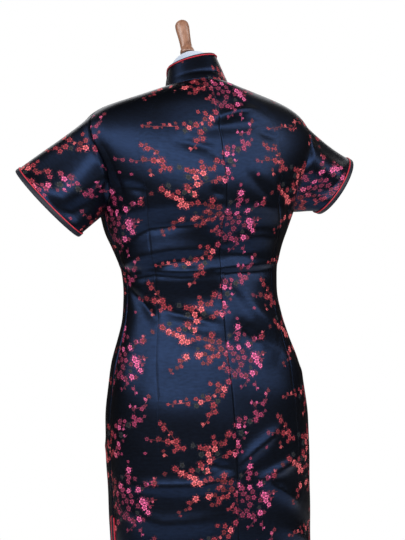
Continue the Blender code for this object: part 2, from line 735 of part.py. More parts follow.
def form_body(look, where):
    """The limbless form, one smooth closed body: torso, shoulder stumps, neck and the leaning cap."""
    angles = [2 * math.pi * i / RING for i in range(RING)]
    rings = []
    bottom = [torso(a, FORM_BOTTOM_Z) for a in angles]
    middle = sum(bottom, Vector()) / RING
    rings.append([middle + (p - middle) * 0.90 for p in bottom])
    runs = list(FORM_ROWS) + [mix(UNDERARM_Z, TOP, i / FORM_UP_ROWS) for i in range(1, FORM_UP_ROWS + 1)]
    for run in runs:
        rings.append([torso(a, run) - outward(a, run) * form_gap(a, run) for a in angles])
    for share in (0.10, 0.45, 0.80, 1.0):
        rings.append([collar_point(a, share, -FORM_GAP - SEAM) for a in angles])
    rim = rings[-1]
    centre = sum(rim, Vector()) / RING
    cap = Vector((0, CAP_Y - STAND_Y, CAP_Z))
    for i in range(1, 4):
        turn = math.pi / 2 * i / 4
        ring = []
        for p in rim:
            spoke = p - centre
            spoke.z = mix(spoke.z, spoke.y * math.tan(CAP_LEAN), math.sin(turn))
            ring.append(centre.lerp(cap, math.sin(turn) ** 1.4) + spoke * math.cos(turn))
        rings.append(ring)
    bm = bmesh.new()
    verts = [[bm.verts.new(p) for p in ring] for ring in rings]
    for low, high in zip(verts, verts[1:]):
        for i in range(RING):
            k = (i + 1) % RING
            bm.faces.new((low[k], low[i], high[i], high[k]))
    bm.faces.new(verts[0])
    top = bm.verts.new(cap)
    for i in range(RING):
        bm.faces.new((verts[-1][(i + 1) % RING], verts[-1][i], top))
    data = bpy.data.meshes.new("form_body")
    bm.to_mesh(data)
    bm.free()
    data.shade_smooth()
    add("form_body", data, look, where)


def form_gap(angle, run):
    """How far the form lies inside the dress: close at the shoulders, loose at the waist and sleeves."""
    if run > UNDERARM_Z:
        up = (run - UNDERARM_Z) / OVER_SHOULDER
        stump = abs(math.sin(angle)) ** 10 * ease((0.62 - up) / 0.2) * ease(up / 0.15)
        ridge = math.sin(angle) ** 2 * ease((up - 0.3) / 0.2) * RIDGE_GAP
        chest = ease(-math.cos(angle) * 3) * ease(up / 0.1) * ease((0.8 - up) / 0.3) * CHEST_GAP
        return mix(FORM_SLACK, FORM_GAP, ease(up / 0.35)) + STUMP_SLACK * stump + ridge + chest
    waist = ease((run - 0.86) / 0.10) * ease((UNDERARM_Z - run) / 0.06)
    return FORM_SLACK + WAIST_SLACK * waist + HIP_SLACK * ease((0.80 - run) / 0.05)


def stand(wood, metal, where):
    """The knob on the neck, the pole under the form and the round foot that it stands on."""
    knob = turned("knob", KNOB, 20, wood, where)
    lean = Vector((0, -math.sin(CAP_LEAN), math.cos(CAP_LEAN)))
    knob.rotation_euler = (CAP_LEAN, 0, 0)
    knob.location = Vector((0, CAP_Y - STAND_Y, CAP_Z)) + lean * SEAM
    low, high = BASE_HEIGHT + SEAM, FORM_BOTTOM_Z - SEAM
    turned("pole", ((0, high), (POLE_RADIUS, high), (POLE_RADIUS, low), (0, low)), 20, metal, where)
    turned("foot", FOOT, 32, wood, where)


def main():
    for o in list(bpy.data.objects):
        bpy.data.objects.remove(o)
    dress = collection("cheongsam_on_dress_form")
    brocade = material("navy_brocade", (0.020, 0.035, 0.090), 0.35)
    satin = material("navy_satin", (0.012, 0.020, 0.050), 0.30)
    red = material("red_piping", (0.65, 0.03, 0.06), 0.35)
    jersey = material("white_jersey", (0.80, 0.81, 0.83), 0.85)
    wood = material("brown_wood", (0.30, 0.14, 0.07), 0.40)
    metal = material("pole_steel", (0.45, 0.45, 0.46), 0.35, 1.0)
    back_panels(brocade, dress)
    front_panels(brocade, dress)
    opening_trims(satin, red, dress)
    hem_trims(satin, red, dress)
    for name in SLEEVES:
        sleeve_pieces(name, brocade, satin, red, dress)
    collar_pieces(brocade, satin, red, dress)
    frogs(satin, dress)
    form_body(jersey, dress)
    stand(wood, metal, dress)


main()
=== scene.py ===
import math

import bmesh
import bpy
import numpy as np
from mathutils import Matrix, Vector


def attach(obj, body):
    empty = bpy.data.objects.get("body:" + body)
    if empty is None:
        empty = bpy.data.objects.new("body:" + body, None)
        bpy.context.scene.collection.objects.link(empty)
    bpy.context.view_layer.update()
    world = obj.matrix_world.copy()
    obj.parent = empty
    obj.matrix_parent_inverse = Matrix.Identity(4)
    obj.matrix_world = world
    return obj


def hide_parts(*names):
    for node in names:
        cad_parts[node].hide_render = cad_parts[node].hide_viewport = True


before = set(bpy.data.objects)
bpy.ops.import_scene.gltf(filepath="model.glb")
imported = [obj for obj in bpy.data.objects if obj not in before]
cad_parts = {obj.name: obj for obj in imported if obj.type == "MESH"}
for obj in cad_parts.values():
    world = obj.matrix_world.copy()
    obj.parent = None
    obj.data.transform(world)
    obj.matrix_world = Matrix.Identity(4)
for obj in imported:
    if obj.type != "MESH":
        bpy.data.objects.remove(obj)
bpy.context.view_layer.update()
bpy.ops.object.select_all(action="DESELECT")

# The view. The dress is seen from behind, a little to its left, from the height of its waist, with a short
# telephoto lens that cuts the skirt off below the hips.
VIEW_AZIMUTH, VIEW_ELEVATION, VIEW_ROLL = math.radians(157), math.radians(2), math.radians(-1)
VIEW_DISTANCE = 2.6
VIEW_SHIFT = 0.0065
PIXELS_PER_METRE = 560
toward = Vector(
    (
        math.sin(VIEW_AZIMUTH) * math.cos(VIEW_ELEVATION),
        -math.cos(VIEW_AZIMUTH) * math.cos(VIEW_ELEVATION),
        math.sin(VIEW_ELEVATION),
    )
)
aside = Vector((math.cos(VIEW_AZIMUTH), math.sin(VIEW_AZIMUTH), 0))
camera = bpy.data.objects.new("camera", bpy.data.cameras.new("camera"))
bpy.context.scene.collection.objects.link(camera)
camera.location = Vector((0, -0.030, 1.071)) + aside * VIEW_SHIFT + toward * VIEW_DISTANCE
camera.rotation_euler = (
    toward.to_track_quat("Z", "Y").to_matrix() @ Matrix.Rotation(VIEW_ROLL, 3, "Z")
).to_euler()
camera.data.sensor_fit = "VERTICAL"
camera.data.sensor_height = 24
camera.data.lens = PIXELS_PER_METRE * VIEW_DISTANCE / 540 * 24
bpy.context.scene.camera = camera

# The dress's figure. Every panel is cut to the same body: level sections that are rounder than an ellipse
# up to the underarm, and above it a run over the shoulder to the neck's ring. Angles start at the centre
# back and grow towards the wearer's left.
HEM, SLIT_TOP, UNDERARM, SIDE_NECK = 0.400, 0.652, 1.175, 1.391
STAND_BACK = 0.030
SQUARENESS = 2.3
OVER_SHOULDER = 0.26
CLOTH = 0.0015
SEAM = 0.0003
FIGURE_COLUMNS = ("height", "half_width", "back", "front", "middle_y")
FIGURE = np.array(
    (
        (0.400, 0.1750, 0.113, 0.110, 0.040),
        (0.600, 0.1810, 0.117, 0.116, 0.036),
        (0.700, 0.1825, 0.119, 0.118, 0.033),
        (0.780, 0.1840, 0.119, 0.121, 0.030),
        (0.850, 0.1795, 0.114, 0.116, 0.027),
        (0.910, 0.1685, 0.103, 0.108, 0.023),
        (0.955, 0.1545, 0.096, 0.101, 0.018),
        (0.990, 0.1440, 0.092, 0.095, 0.014),
        (1.020, 0.1400, 0.087, 0.092, 0.010),
        (1.050, 0.1400, 0.085, 0.092, 0.008),
        (1.082, 0.1430, 0.086, 0.098, 0.004),
        (1.111, 0.1530, 0.093, 0.108, 0.000),
        (1.139, 0.1650, 0.103, 0.117, -0.003),
        (1.175, 0.1750, 0.112, 0.122, 0.000),
    )
)
NECK = {"y": 0.004, "side": 0.0560, "back": 0.054, "front": 0.056, "rise": 0.016, "drop": 0.050}
SHOULDER_REACH, SHOULDER_HEIGHT = 0.226, 1.347
NAPE_TURN, CHEST_TURN, BLADES = 1.364, 1.292, 0.009
FULL_RUN = UNDERARM + OVER_SHOULDER
TIP_RUN = 0.145
BACK_MIDDLE, LEFT_SIDE, FRONT_MIDDLE, RIGHT_SIDE = 0.0, math.pi / 2, math.pi, 1.5 * math.pi


def mix(a, b, share):
    return a + (b - a) * share


def ease(t):
    t = np.clip(t, 0.0, 1.0)
    return t * t * (3 - 2 * t)


def figure(height, name):
    """One measure of the figure at each height, along a smooth curve through the sections."""
    xs, ys = FIGURE[:, 0], FIGURE[:, FIGURE_COLUMNS.index(name)]
    slopes = np.gradient(ys, xs)
    x = np.clip(height, xs[0], xs[-1])
    i = np.clip(np.searchsorted(xs, x, side="right") - 1, 0, len(xs) - 2)
    h = xs[i + 1] - xs[i]
    t = (x - xs[i]) / h
    rise = (2 * t**3 - 3 * t**2 + 1) * ys[i] + (3 * t**2 - 2 * t**3) * ys[i + 1]
    return rise + ((t**3 - 2 * t**2 + t) * slopes[i] + (t**3 - t**2) * slopes[i + 1]) * h


def neck_ring(angle):
    s, c = np.sin(angle), np.cos(angle)
    depth = np.where(c > 0, NECK["back"], NECK["front"])
    rise = np.where(c > 0, NECK["rise"] * c, -NECK["drop"] * np.abs(c) ** 1.5)
    return np.stack((NECK["side"] * s, NECK["y"] + depth * c - STAND_BACK, SIDE_NECK + rise), axis=-1)


def figure_face(angle, run):
    """The inner face of the worn dress at each angle and run."""
    angle, run = np.broadcast_arrays(np.asarray(angle, float), np.asarray(run, float))
    s, c = np.sin(angle), np.cos(angle)
    round_off = (np.abs(s) ** SQUARENESS + np.abs(c) ** SQUARENESS) ** (1 / SQUARENESS)
    across, ahead = s / round_off, c / round_off
    low = np.minimum(run, UNDERARM)
    half, middle = figure(low, "half_width"), figure(low, "middle_y") - STAND_BACK
    depth = np.where(ahead > 0, figure(low, "back"), figure(low, "front"))
    turn = np.clip((run - UNDERARM) / OVER_SHOULDER, 0, 1) * math.pi / 2
    back, front, side = np.maximum(c, 0) ** 2, np.minimum(c, 0) ** 2, s**2
    power = 2.3 * back + 1.9 * front + mix(2.2, 6.0, side**3) * side
    ct, st = np.cos(turn), np.sin(turn)
    round_off = (np.abs(ct) ** power + np.abs(st) ** power) ** (1 / power)
    inward, upward = np.abs(ct) / round_off, np.abs(st) / round_off
    corner = NAPE_TURN * back + CHEST_TURN * front + SHOULDER_HEIGHT * side
    neck = neck_ring(angle)
    half = half + (SHOULDER_REACH - half) * ease(upward / 0.8)
    depth = depth + BLADES * back * np.sin(math.pi * np.sqrt(upward))
    x = mix(neck[..., 0], half * across, inward)
    y = mix(neck[..., 1], middle + depth * ahead, inward)
    z = low + (corner - UNDERARM) * upward + (neck[..., 2] - corner) * (1 - inward)
    return np.stack((x, y, z), axis=-1)


def unit(v):
    return v / np.linalg.norm(v, axis=-1, keepdims=True)


def figure_outward(angle, run):
    """The direction straight out of the dress."""
    step = 1e-3
    low = np.minimum(run, FULL_RUN - step)
    up = figure_face(angle, low + step) - figure_face(angle, low - step)
    across = figure_face(angle + step, low) - figure_face(angle - step, low)
    return unit(np.cross(up, across))


# The creases. The dress hangs a little loose: a sharp fold lies round the waist, soft ones run up to the
# shoulder blades and down over the seat, and drag lines meet where the skirt catches at the back.
# Each row gives the crease's course (along the body from the centre back, height), how far it stands out or
# sinks in, its width above and below the line, and how sharp it is.
ALONG = 0.15
CREASES = (
    (((0.255, 1.088), (0.126, 1.084), (0.056, 1.078), (0.001, 1.076), (-0.059, 1.079), (-0.160, 1.084)),
     0.0080, 0.018, 0.007, 1.4),
    (((0.206, 1.057), (0.124, 1.068), (0.072, 1.063), (0.005, 1.066)), -0.0025, 0.005, 0.006, 2.0),
    (((-0.003, 1.070), (-0.059, 1.068), (-0.125, 1.070)), -0.0035, 0.005, 0.008, 1.6),
    (((0.160, 1.128), (0.114, 1.147), (0.059, 1.152), (0.008, 1.157)), -0.0060, 0.012, 0.008, 1.5),
    (((0.200, 1.092), (0.147, 1.102), (0.090, 1.112), (0.010, 1.114)), 0.0108, 0.022, 0.014, 1.8),
    (((-0.024, 1.126), (-0.070, 1.132), (-0.125, 1.124)), 0.0060, 0.010, 0.030, 1.8),
    (((-0.008, 1.098), (-0.062, 1.100)), -0.0030, 0.010, 0.010, 2.0),
    (((-0.004, 1.050), (-0.035, 1.022), (-0.060, 1.000), (-0.115, 0.962)), 0.0100, 0.028, 0.034, 1.8),
    (((-0.010, 1.052), (-0.034, 1.020), (-0.056, 0.985)), -0.0035, 0.010, 0.010, 2.0),
    (((0.222, 1.044), (0.164, 1.021), (0.124, 0.990)), -0.0080, 0.010, 0.014, 1.5),
    (((0.116, 1.008), (0.063, 0.996), (0.012, 0.980)), -0.0070, 0.010, 0.013, 1.6),
    (((-0.034, 0.973), (-0.062, 0.936)), -0.0045, 0.012, 0.012, 2.0),
    (((0.004, 1.313), (-0.030, 1.325), (-0.078, 1.335)), 0.0050, 0.009, 0.007, 1.6),
    (((0.026, 1.294), (-0.016, 1.301), (-0.080, 1.309)), -0.0045, 0.008, 0.012, 1.8),
    (((0.060, 1.278), (0.031, 1.269), (0.005, 1.264)), -0.0035, 0.006, 0.008, 1.6),
    (((0.022, 1.262), (-0.008, 1.243)), -0.0035, 0.006, 0.006, 1.6),
    (((-0.058, 1.292), (-0.094, 1.286)), -0.0035, 0.006, 0.009, 1.6),
    (((0.022, 1.205), (0.003, 1.199)), -0.0030, 0.005, 0.006, 1.6),
    (((0.145, 1.216), (0.112, 1.208)), -0.0045, 0.008, 0.010, 1.8),
    (((0.168, 1.275), (0.162, 1.243), (0.156, 1.205)), -0.0060, 0.009, 0.009, 1.6),
    (((-0.030, 1.230), (-0.060, 1.206), (-0.095, 1.184)), -0.0035, 0.008, 0.010, 1.8),
    (((-0.085, 1.225), (-0.118, 1.195), (-0.138, 1.160)), -0.0045, 0.009, 0.012, 1.8),
    (((0.002, 0.735), (-0.029, 0.766), (-0.070, 0.797)), 0.0070, 0.010, 0.008, 1.5),
    (((0.000, 0.733), (0.025, 0.742), (0.056, 0.757)), -0.0040, 0.005, 0.008, 1.4),
    (((0.165, 0.716), (0.105, 0.713), (0.064, 0.712), (-0.004, 0.722)), 0.0060, 0.010, 0.007, 1.4),
    (((-0.030, 0.714), (-0.060, 0.725), (-0.105, 0.742)), 0.0065, 0.007, 0.010, 1.5),
    (((-0.038, 0.713), (-0.069, 0.692), (-0.105, 0.664)), 0.0070, 0.010, 0.007, 1.5),
    (((0.180, 0.672), (0.110, 0.650), (0.030, 0.655)), 0.0045, 0.014, 0.016, 2.0),
    (((-0.060, 0.640), (-0.120, 0.600), (-0.165, 0.560)), 0.0050, 0.014, 0.018, 2.0),
    (((0.060, 0.600), (0.068, 0.520), (0.060, 0.440)), 0.0060, 0.022, 0.026, 2.0),
    (((-0.075, 0.560), (-0.082, 0.490), (-0.078, 0.430)), 0.0055, 0.020, 0.024, 2.0),
    (((0.150, 0.610), (0.160, 0.520), (0.150, 0.440)), -0.0050, 0.020, 0.022, 2.0),
    (((0.150, 1.190), (0.080, 1.196), (0.000, 1.192), (-0.080, 1.196), (-0.150, 1.188)),
     0.0085, 0.062, 0.036, 2.0),
    (((-0.100, 0.925), (-0.140, 0.895), (-0.175, 0.880)), 0.0050, 0.014, 0.030, 2.0),
    (((0.150, 1.074), (0.100, 1.072), (0.050, 1.070), (0.004, 1.064)), 0.0100, 0.006, 0.033, 1.8),
    (((0.100, 0.975), (0.050, 0.962), (0.010, 0.950)), -0.0040, 0.014, 0.018, 2.0),
    # the front
    (((0.300, 1.082), (0.370, 1.076), (0.450, 1.070), (0.530, 1.074), (0.610, 1.084)),
     0.0065, 0.008, 0.014, 1.5),
    (((0.320, 1.058), (0.400, 1.054), (0.470, 1.052)), -0.0050, 0.012, 0.007, 1.8),
    (((0.500, 1.056), (0.560, 1.060), (0.610, 1.066)), -0.0045, 0.011, 0.007, 1.8),
    (((0.330, 1.105), (0.370, 1.130), (0.400, 1.160)), -0.0045, 0.010, 0.010, 1.8),
    (((0.610, 1.100), (0.575, 1.128), (0.545, 1.158)), -0.0045, 0.010, 0.010, 1.8),
    (((0.345, 1.035), (0.380, 1.010), (0.420, 0.990)), -0.0045, 0.009, 0.007, 1.6),
    (((0.595, 1.030), (0.560, 1.004), (0.515, 0.988)), -0.0045, 0.007, 0.010, 1.6),
    (((0.345, 1.250), (0.375, 1.225), (0.410, 1.215)), -0.0040, 0.010, 0.010, 1.8),
    (((0.540, 1.225), (0.575, 1.215), (0.610, 1.235)), -0.0035, 0.008, 0.010, 1.8),
    (((0.420, 0.905), (0.470, 0.895), (0.530, 0.907)), 0.0035, 0.010, 0.014, 2.0),
    (((0.290, 0.770), (0.350, 0.745), (0.430, 0.735)), 0.0050, 0.010, 0.008, 1.5),
    (((0.650, 0.765), (0.590, 0.742), (0.510, 0.737)), 0.0050, 0.008, 0.010, 1.5),
    (((0.380, 0.640), (0.384, 0.540), (0.376, 0.440)), 0.0060, 0.022, 0.026, 2.0),
    (((0.560, 0.620), (0.552, 0.530), (0.560, 0.440)), 0.0060, 0.026, 0.022, 2.0),
    (((0.466, 0.600), (0.470, 0.520), (0.466, 0.440)), -0.0050, 0.022, 0.022, 2.0),
)  # fmt: skip


def crease_lift(angle, run):
    """How far the creases lift the cloth or let it sink."""
    along = ((angle + math.pi) % (2 * math.pi) - math.pi) * ALONG
    along = np.where(along < -LEFT_SIDE * ALONG - 1e-6, along + 2 * math.pi * ALONG, along)
    place = np.stack(np.broadcast_arrays(along, run), axis=-1)
    total = np.zeros(place.shape[:-1])
    for course, out, above, below, power in CREASES:
        course = np.array(course)
        steps = np.linalg.norm(np.diff(course, axis=0), axis=1)
        nearest, share, side = np.full(total.shape, 9.0), np.zeros(total.shape), np.ones(total.shape)
        for i, length in enumerate(steps):
            way = (course[i + 1] - course[i]) / length
            off = place - course[i]
            t = np.clip(off @ way, 0, length)
            gap = np.linalg.norm(off - t[..., None] * way, axis=-1)
            closer = gap < nearest
            nearest = np.where(closer, gap, nearest)
            share = np.where(closer, (steps[:i].sum() + t) / steps.sum(), share)
            side = np.where(closer, off[..., 0] * way[1] - off[..., 1] * way[0], side)
        width = np.where(side > 0, above, below)
        total += out * np.exp(-((nearest / width) ** power)) * np.sin(math.pi * mix(0.06, 0.94, share)) ** 0.8
    loose = ease((run - 1.185) / 0.05) * ease((1.385 - run) / 0.04) * np.maximum(np.cos(angle), 0) ** 2
    total = np.maximum(total + 0.0020 * loose, -0.0013 - 9 * ease((1.19 - run) / 0.03))
    drift = np.sin(along * 61 + run * 17) * np.sin(run * 43 - along * 23) + np.sin(along * 29 - run * 71 + 2)
    return total + drift * 0.00035


def worn(angle, run, out=0.0):
    """The dress's cloth at each angle and run, out metres outside its inner face."""
    lift = out + crease_lift(angle, run)
    return figure_face(angle, run) + figure_outward(angle, run) * lift[..., None]


def lengths(points, axis):
    """The distance run along each row or column of points, from its start."""
    steps = np.linalg.norm(np.diff(points, axis=axis), axis=-1)
    start = np.zeros_like(np.take(steps, [0], axis=axis))
    return np.concatenate((start, np.cumsum(steps, axis=axis)), axis=axis)


def grid_piece(name, points, flat, look, wall=0.0, wall_side=1, ring=False):
    """A piece through a grid of points whose rows climb, with the flat cut's metres as its UV map."""
    rows, columns = points.shape[:2]
    index = np.arange(rows * columns).reshape(rows, columns)
    left, right = (index[:, :-1], index[:, 1:])
    faces = np.stack((right[:-1], left[:-1], left[1:], right[1:]), axis=-1).reshape(-1, 4)
    data = bpy.data.meshes.new(name)
    data.from_pydata(points.reshape(-1, 3).tolist(), [], faces.tolist())
    corners = np.empty(len(data.loops), int)
    data.loops.foreach_get("vertex_index", corners)
    data.uv_layers.new(name="UVMap").data.foreach_set("uv", flat.reshape(-1, 2)[corners].ravel())
    piece = bpy.data.objects.new(name, data)
    bpy.context.scene.collection.objects.link(piece)
    data.materials.append(look)
    if wall:
        thickness = piece.modifiers.new("wall", "SOLIDIFY")
        thickness.thickness = wall
        thickness.offset = wall_side
        finish(piece)
    if ring:
        close_seam(piece)
    piece.data.shade_smooth()
    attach(piece, "root")
    return piece


def finish(piece):
    """Applies a piece's modifiers."""
    bpy.ops.object.select_all(action="DESELECT")
    piece.select_set(True)
    bpy.context.view_layer.objects.active = piece
    for name in [m.name for m in piece.modifiers]:
        bpy.ops.object.modifier_apply(modifier=name)
    piece.select_set(False)


def close_seam(piece):
    """Joins the two edges of a piece that goes all the way round."""
    bm = bmesh.new()
    bm.from_mesh(piece.data)
    bmesh.ops.remove_doubles(bm, verts=bm.verts, dist=1e-5)
    bm.to_mesh(piece.data)
    bm.free()


def face_area(points):
    """The area of a grid of points."""
    a = points[1:, 1:] - points[:-1, :-1]
    b = points[1:, :-1] - points[:-1, 1:]
    return float(np.linalg.norm(np.cross(a, b), axis=-1).sum() / 2)


# The brocade. A satin of dark navy silk-like polyester, with plum blossoms and their thin branches brought up
# in coral and pink weft. The repeat is 222 by 240 mm, with the blossoms' places noted on a grid of 2 mm.
CHART = 0.002
REPEAT = (111, 120)
BLOSSOM_CHART = {
    "plain": (
        (18, 2, 6), (32, 0, 5), (43, 111, 4), (48, 112, 5), (60, 114, 6), (55, 104, 5), (71, 97, 5),
        (59, 96, 4), (55, 92, 5), (63, 96, 5), (29, 93, 4), (30, 88, 3), (79, 102, 5), (87, 114, 5),
        (85, 110, 5), (110, 110, 6), (90, 93, 5), (85, 78, 5), (72, 82, 5), (70, 73, 6), (67, 87, 3),
        (63, 85, 3), (68, 89, 3), (60, 71, 5), (63, 62, 5), (53, 72, 4), (50, 60, 6), (39, 60, 4),
        (32, 56, 4), (21, 58, 3), (15, 56, 3), (54, 54, 6), (55, 48, 5), (49, 46, 5), (103, 52, 4),
        (100, 43, 5), (95, 45, 5), (95, 39, 5), (85, 41, 4), (73, 36, 5), (66, 29, 6), (71, 27, 5),
        (77, 18, 5), (75, 13, 4), (80, 13, 3), (53, 22, 6), (62, 21, 4), (66, 13, 5), (63, 10, 4),
        (45, 18, 6), (40, 19, 5), (52, 27, 4), (40, 4, 7), (7, 40, 4), (10, 36, 5), (13, 25, 6),
        (20, 25, 6), (21, 20, 6), (26, 19, 5), (18, 17, 4), (22, 117, 4), (27, 117, 4), (87, 7, 3),
        (104, 15, 3),
    ),
    "bright": (
        (23, 118, 6), (30, 115, 5), (34, 113, 6), (33, 109, 5), (38, 109, 6), (46, 97, 6), (35, 96, 6),
        (87, 0, 6), (100, 94, 7), (102, 89, 6), (105, 85, 5), (96, 79, 6), (65, 67, 6), (43, 57, 5),
        (78, 35, 5), (76, 21, 5), (53, 17, 6), (71, 11, 5), (47, 13, 6), (48, 7, 6), (45, 119, 6),
        (75, 105, 6), (96, 104, 6), (86, 102, 5),
    ),
    "deep": (
        (60, 109, 6), (66, 108, 6), (59, 102, 5), (67, 102, 6), (93, 113, 4), (59, 21, 5), (5, 27, 5),
        (106, 27, 4), (89, 98, 5), (80, 97, 5), (84, 93, 5), (79, 91, 4), (96, 90, 5), (86, 87, 6),
        (79, 79, 6), (83, 82, 5), (89, 77, 6), (100, 79, 4), (59, 66, 5), (31, 60, 3), (110, 63, 4),
        (105, 54, 4), (105, 46, 3), (79, 40, 6), (16, 32, 4), (49, 90, 4), (103, 109, 5),
    ),
    "grey": (
        (46, 103, 3), (39, 54, 5), (45, 62, 4), (58, 57, 5), (89, 38, 6), (80, 29, 6), (34, 21, 5),
        (41, 13, 6), (55, 13, 5), (37, 0, 5), (43, 119, 5), (78, 113, 4), (99, 105, 4), (95, 84, 4),
        (74, 76, 4), (24, 5, 5),
    ),
    "ring": ((54, 111, 4), (26, 87, 3), (95, 52, 4), (9, 118, 4), (72, 92, 4), (52, 98, 4)),
}  # fmt: skip
BRANCH_CHART = (
    (20, 82, 22, 86), (43, 36, 49, 43), (80, 24, 88, 30), (83, 66, 89, 72), (98, 64, 98, 72),
    (7, 17, 12, 13), (61, 23, 66, 29), (85, 34, 82, 38), (15, 56, 32, 57), (15, 122, 33, 113),
    (33, 110, 55, 111), (55, 105, 71, 97), (26, 87, 35, 95), (46, 97, 59, 96), (49, 89, 63, 96),
    (63, 85, 72, 82), (67, 89, 70, 82), (46, 57, 60, 66), (49, 46, 55, 54), (95, 52, 105, 54),
    (105, 54, 110, 63), (95, 39, 105, 46), (92, 56, 96, 49), (7, 43, 20, 25), (-5, 27, 13, 25),
    (13, 25, 26, 18), (40, 19, 53, 17), (48, 7, 66, 13), (66, 13, 78, 18), (37, 7, 45, -1),
    (100, 43, 85, 38), (77, 110, 87, 119), (96, 104, 110, 110), (79, 102, 75, 105), (67, 102, 90, 93),
    (103, 95, 113, 96), (103, 93, 113, 96), (102, 91, 110, 91), (110, 110, 113, 115), (71, 89, 80, 81),
    (89, 77, 90, 71), (55, 111, 60, 103),
)  # fmt: skip
SHADES = ("plain", "bright", "deep", "grey", "ring")
BLOSSOM_RADIUS = 0.00080


class NodeBench:
    """A node tree under construction: each call adds one node and wires or sets its inputs."""

    def __init__(self, tree):
        self.tree = tree

    def add(self, kind, *values, **settings):
        node = self.tree.nodes.new(kind)
        for name, value in settings.items():
            setattr(node, name, value)
        for socket, value in zip(node.inputs, values):
            self.wire(value, socket)
        return node

    def wire(self, value, socket):
        if value is None:
            return
        if isinstance(value, bpy.types.NodeSocket):
            self.tree.links.new(value, socket)
        else:
            socket.default_value = value

    def sum(self, operation, *values, clamp=False):
        return self.add("ShaderNodeMath", *values, operation=operation, use_clamp=clamp).outputs[0]

    def vector(self, operation, *values):
        node = self.add("ShaderNodeVectorMath", *values, operation=operation)
        return node.outputs["Value" if operation in ("LENGTH", "DISTANCE", "DOT_PRODUCT") else "Vector"]

    def scaled(self, vector, scale):
        node = self.add("ShaderNodeVectorMath", vector, operation="SCALE")
        self.wire(scale, node.inputs["Scale"])
        return node.outputs["Vector"]

    def blend(self, share, a, b, kind="RGBA"):
        node = self.tree.nodes.new("ShaderNodeMix")
        node.data_type = kind
        named = {"FLOAT": "_Float", "VECTOR": "_Vector", "RGBA": "_Color"}[kind]
        sockets = {s.identifier: s for s in node.inputs}
        self.wire(share, sockets["Factor_Float"])
        self.wire(a, sockets["A" + named])
        self.wire(b, sockets["B" + named])
        return {s.identifier: s for s in node.outputs}["Result" + named]

    def ramp(self, value, *stops):
        """A smooth run of values or colours along a value, given as (place, colour) pairs."""
        node = self.add("ShaderNodeValToRGB", value)
        while len(node.color_ramp.elements) < len(stops):
            node.color_ramp.elements.new(0.5)
        for element, (place, colour) in zip(node.color_ramp.elements, stops):
            element.position = place
            element.color = (*colour, 1) if isinstance(colour, tuple) else (colour, colour, colour, 1)
        return node.outputs[0]

    def noise(self, vector, scale, detail=2.0, roughness=0.5):
        node = self.add("ShaderNodeTexNoise")
        self.wire(vector, node.inputs["Vector"])
        node.inputs["Scale"].default_value = scale
        node.inputs["Detail"].default_value = detail
        node.inputs["Roughness"].default_value = roughness
        return node.outputs[0]

    def relief(self, height, strength, distance, under=None):
        """The normal of a bump, over the normal under it where there is one."""
        node = self.add("ShaderNodeBump")
        node.inputs["Strength"].default_value = strength
        node.inputs["Distance"].default_value = distance
        self.wire(height, node.inputs["Height"])
        self.wire(under, node.inputs["Normal"])
        return node.outputs[0]


def new_group(name, inputs, outputs):
    """An empty shader node group with named sockets, its bench, and its input and output nodes."""
    group = bpy.data.node_groups.new(name, "ShaderNodeTree")
    for way, sockets in (("INPUT", inputs), ("OUTPUT", outputs)):
        for label, kind in sockets:
            group.interface.new_socket(name=label, in_out=way, socket_type="NodeSocket" + kind)
    bench = NodeBench(group)
    return group, bench, bench.add("NodeGroupInput").outputs, bench.add("NodeGroupOutput").inputs


def buds():
    """The small buds that sit on both sides of each branch."""
    found = []
    for i, (x0, y0, x1, y1) in enumerate(BRANCH_CHART):
        way = Vector((x1 - x0, y1 - y0))
        beside = Vector((-way.y, way.x)).normalized()
        for k, share in enumerate((0.22, 0.64)):
            place = Vector((x0, y0)) + way * share + beside * (1.5 if (i + k) % 2 else -1.5)
            size = 1.9 + (i * 7 + k * 3) % 4 * 0.35
            found.append((place.x % REPEAT[0], place.y % REPEAT[1], size, (i + 2 * k) % 3))
    return found


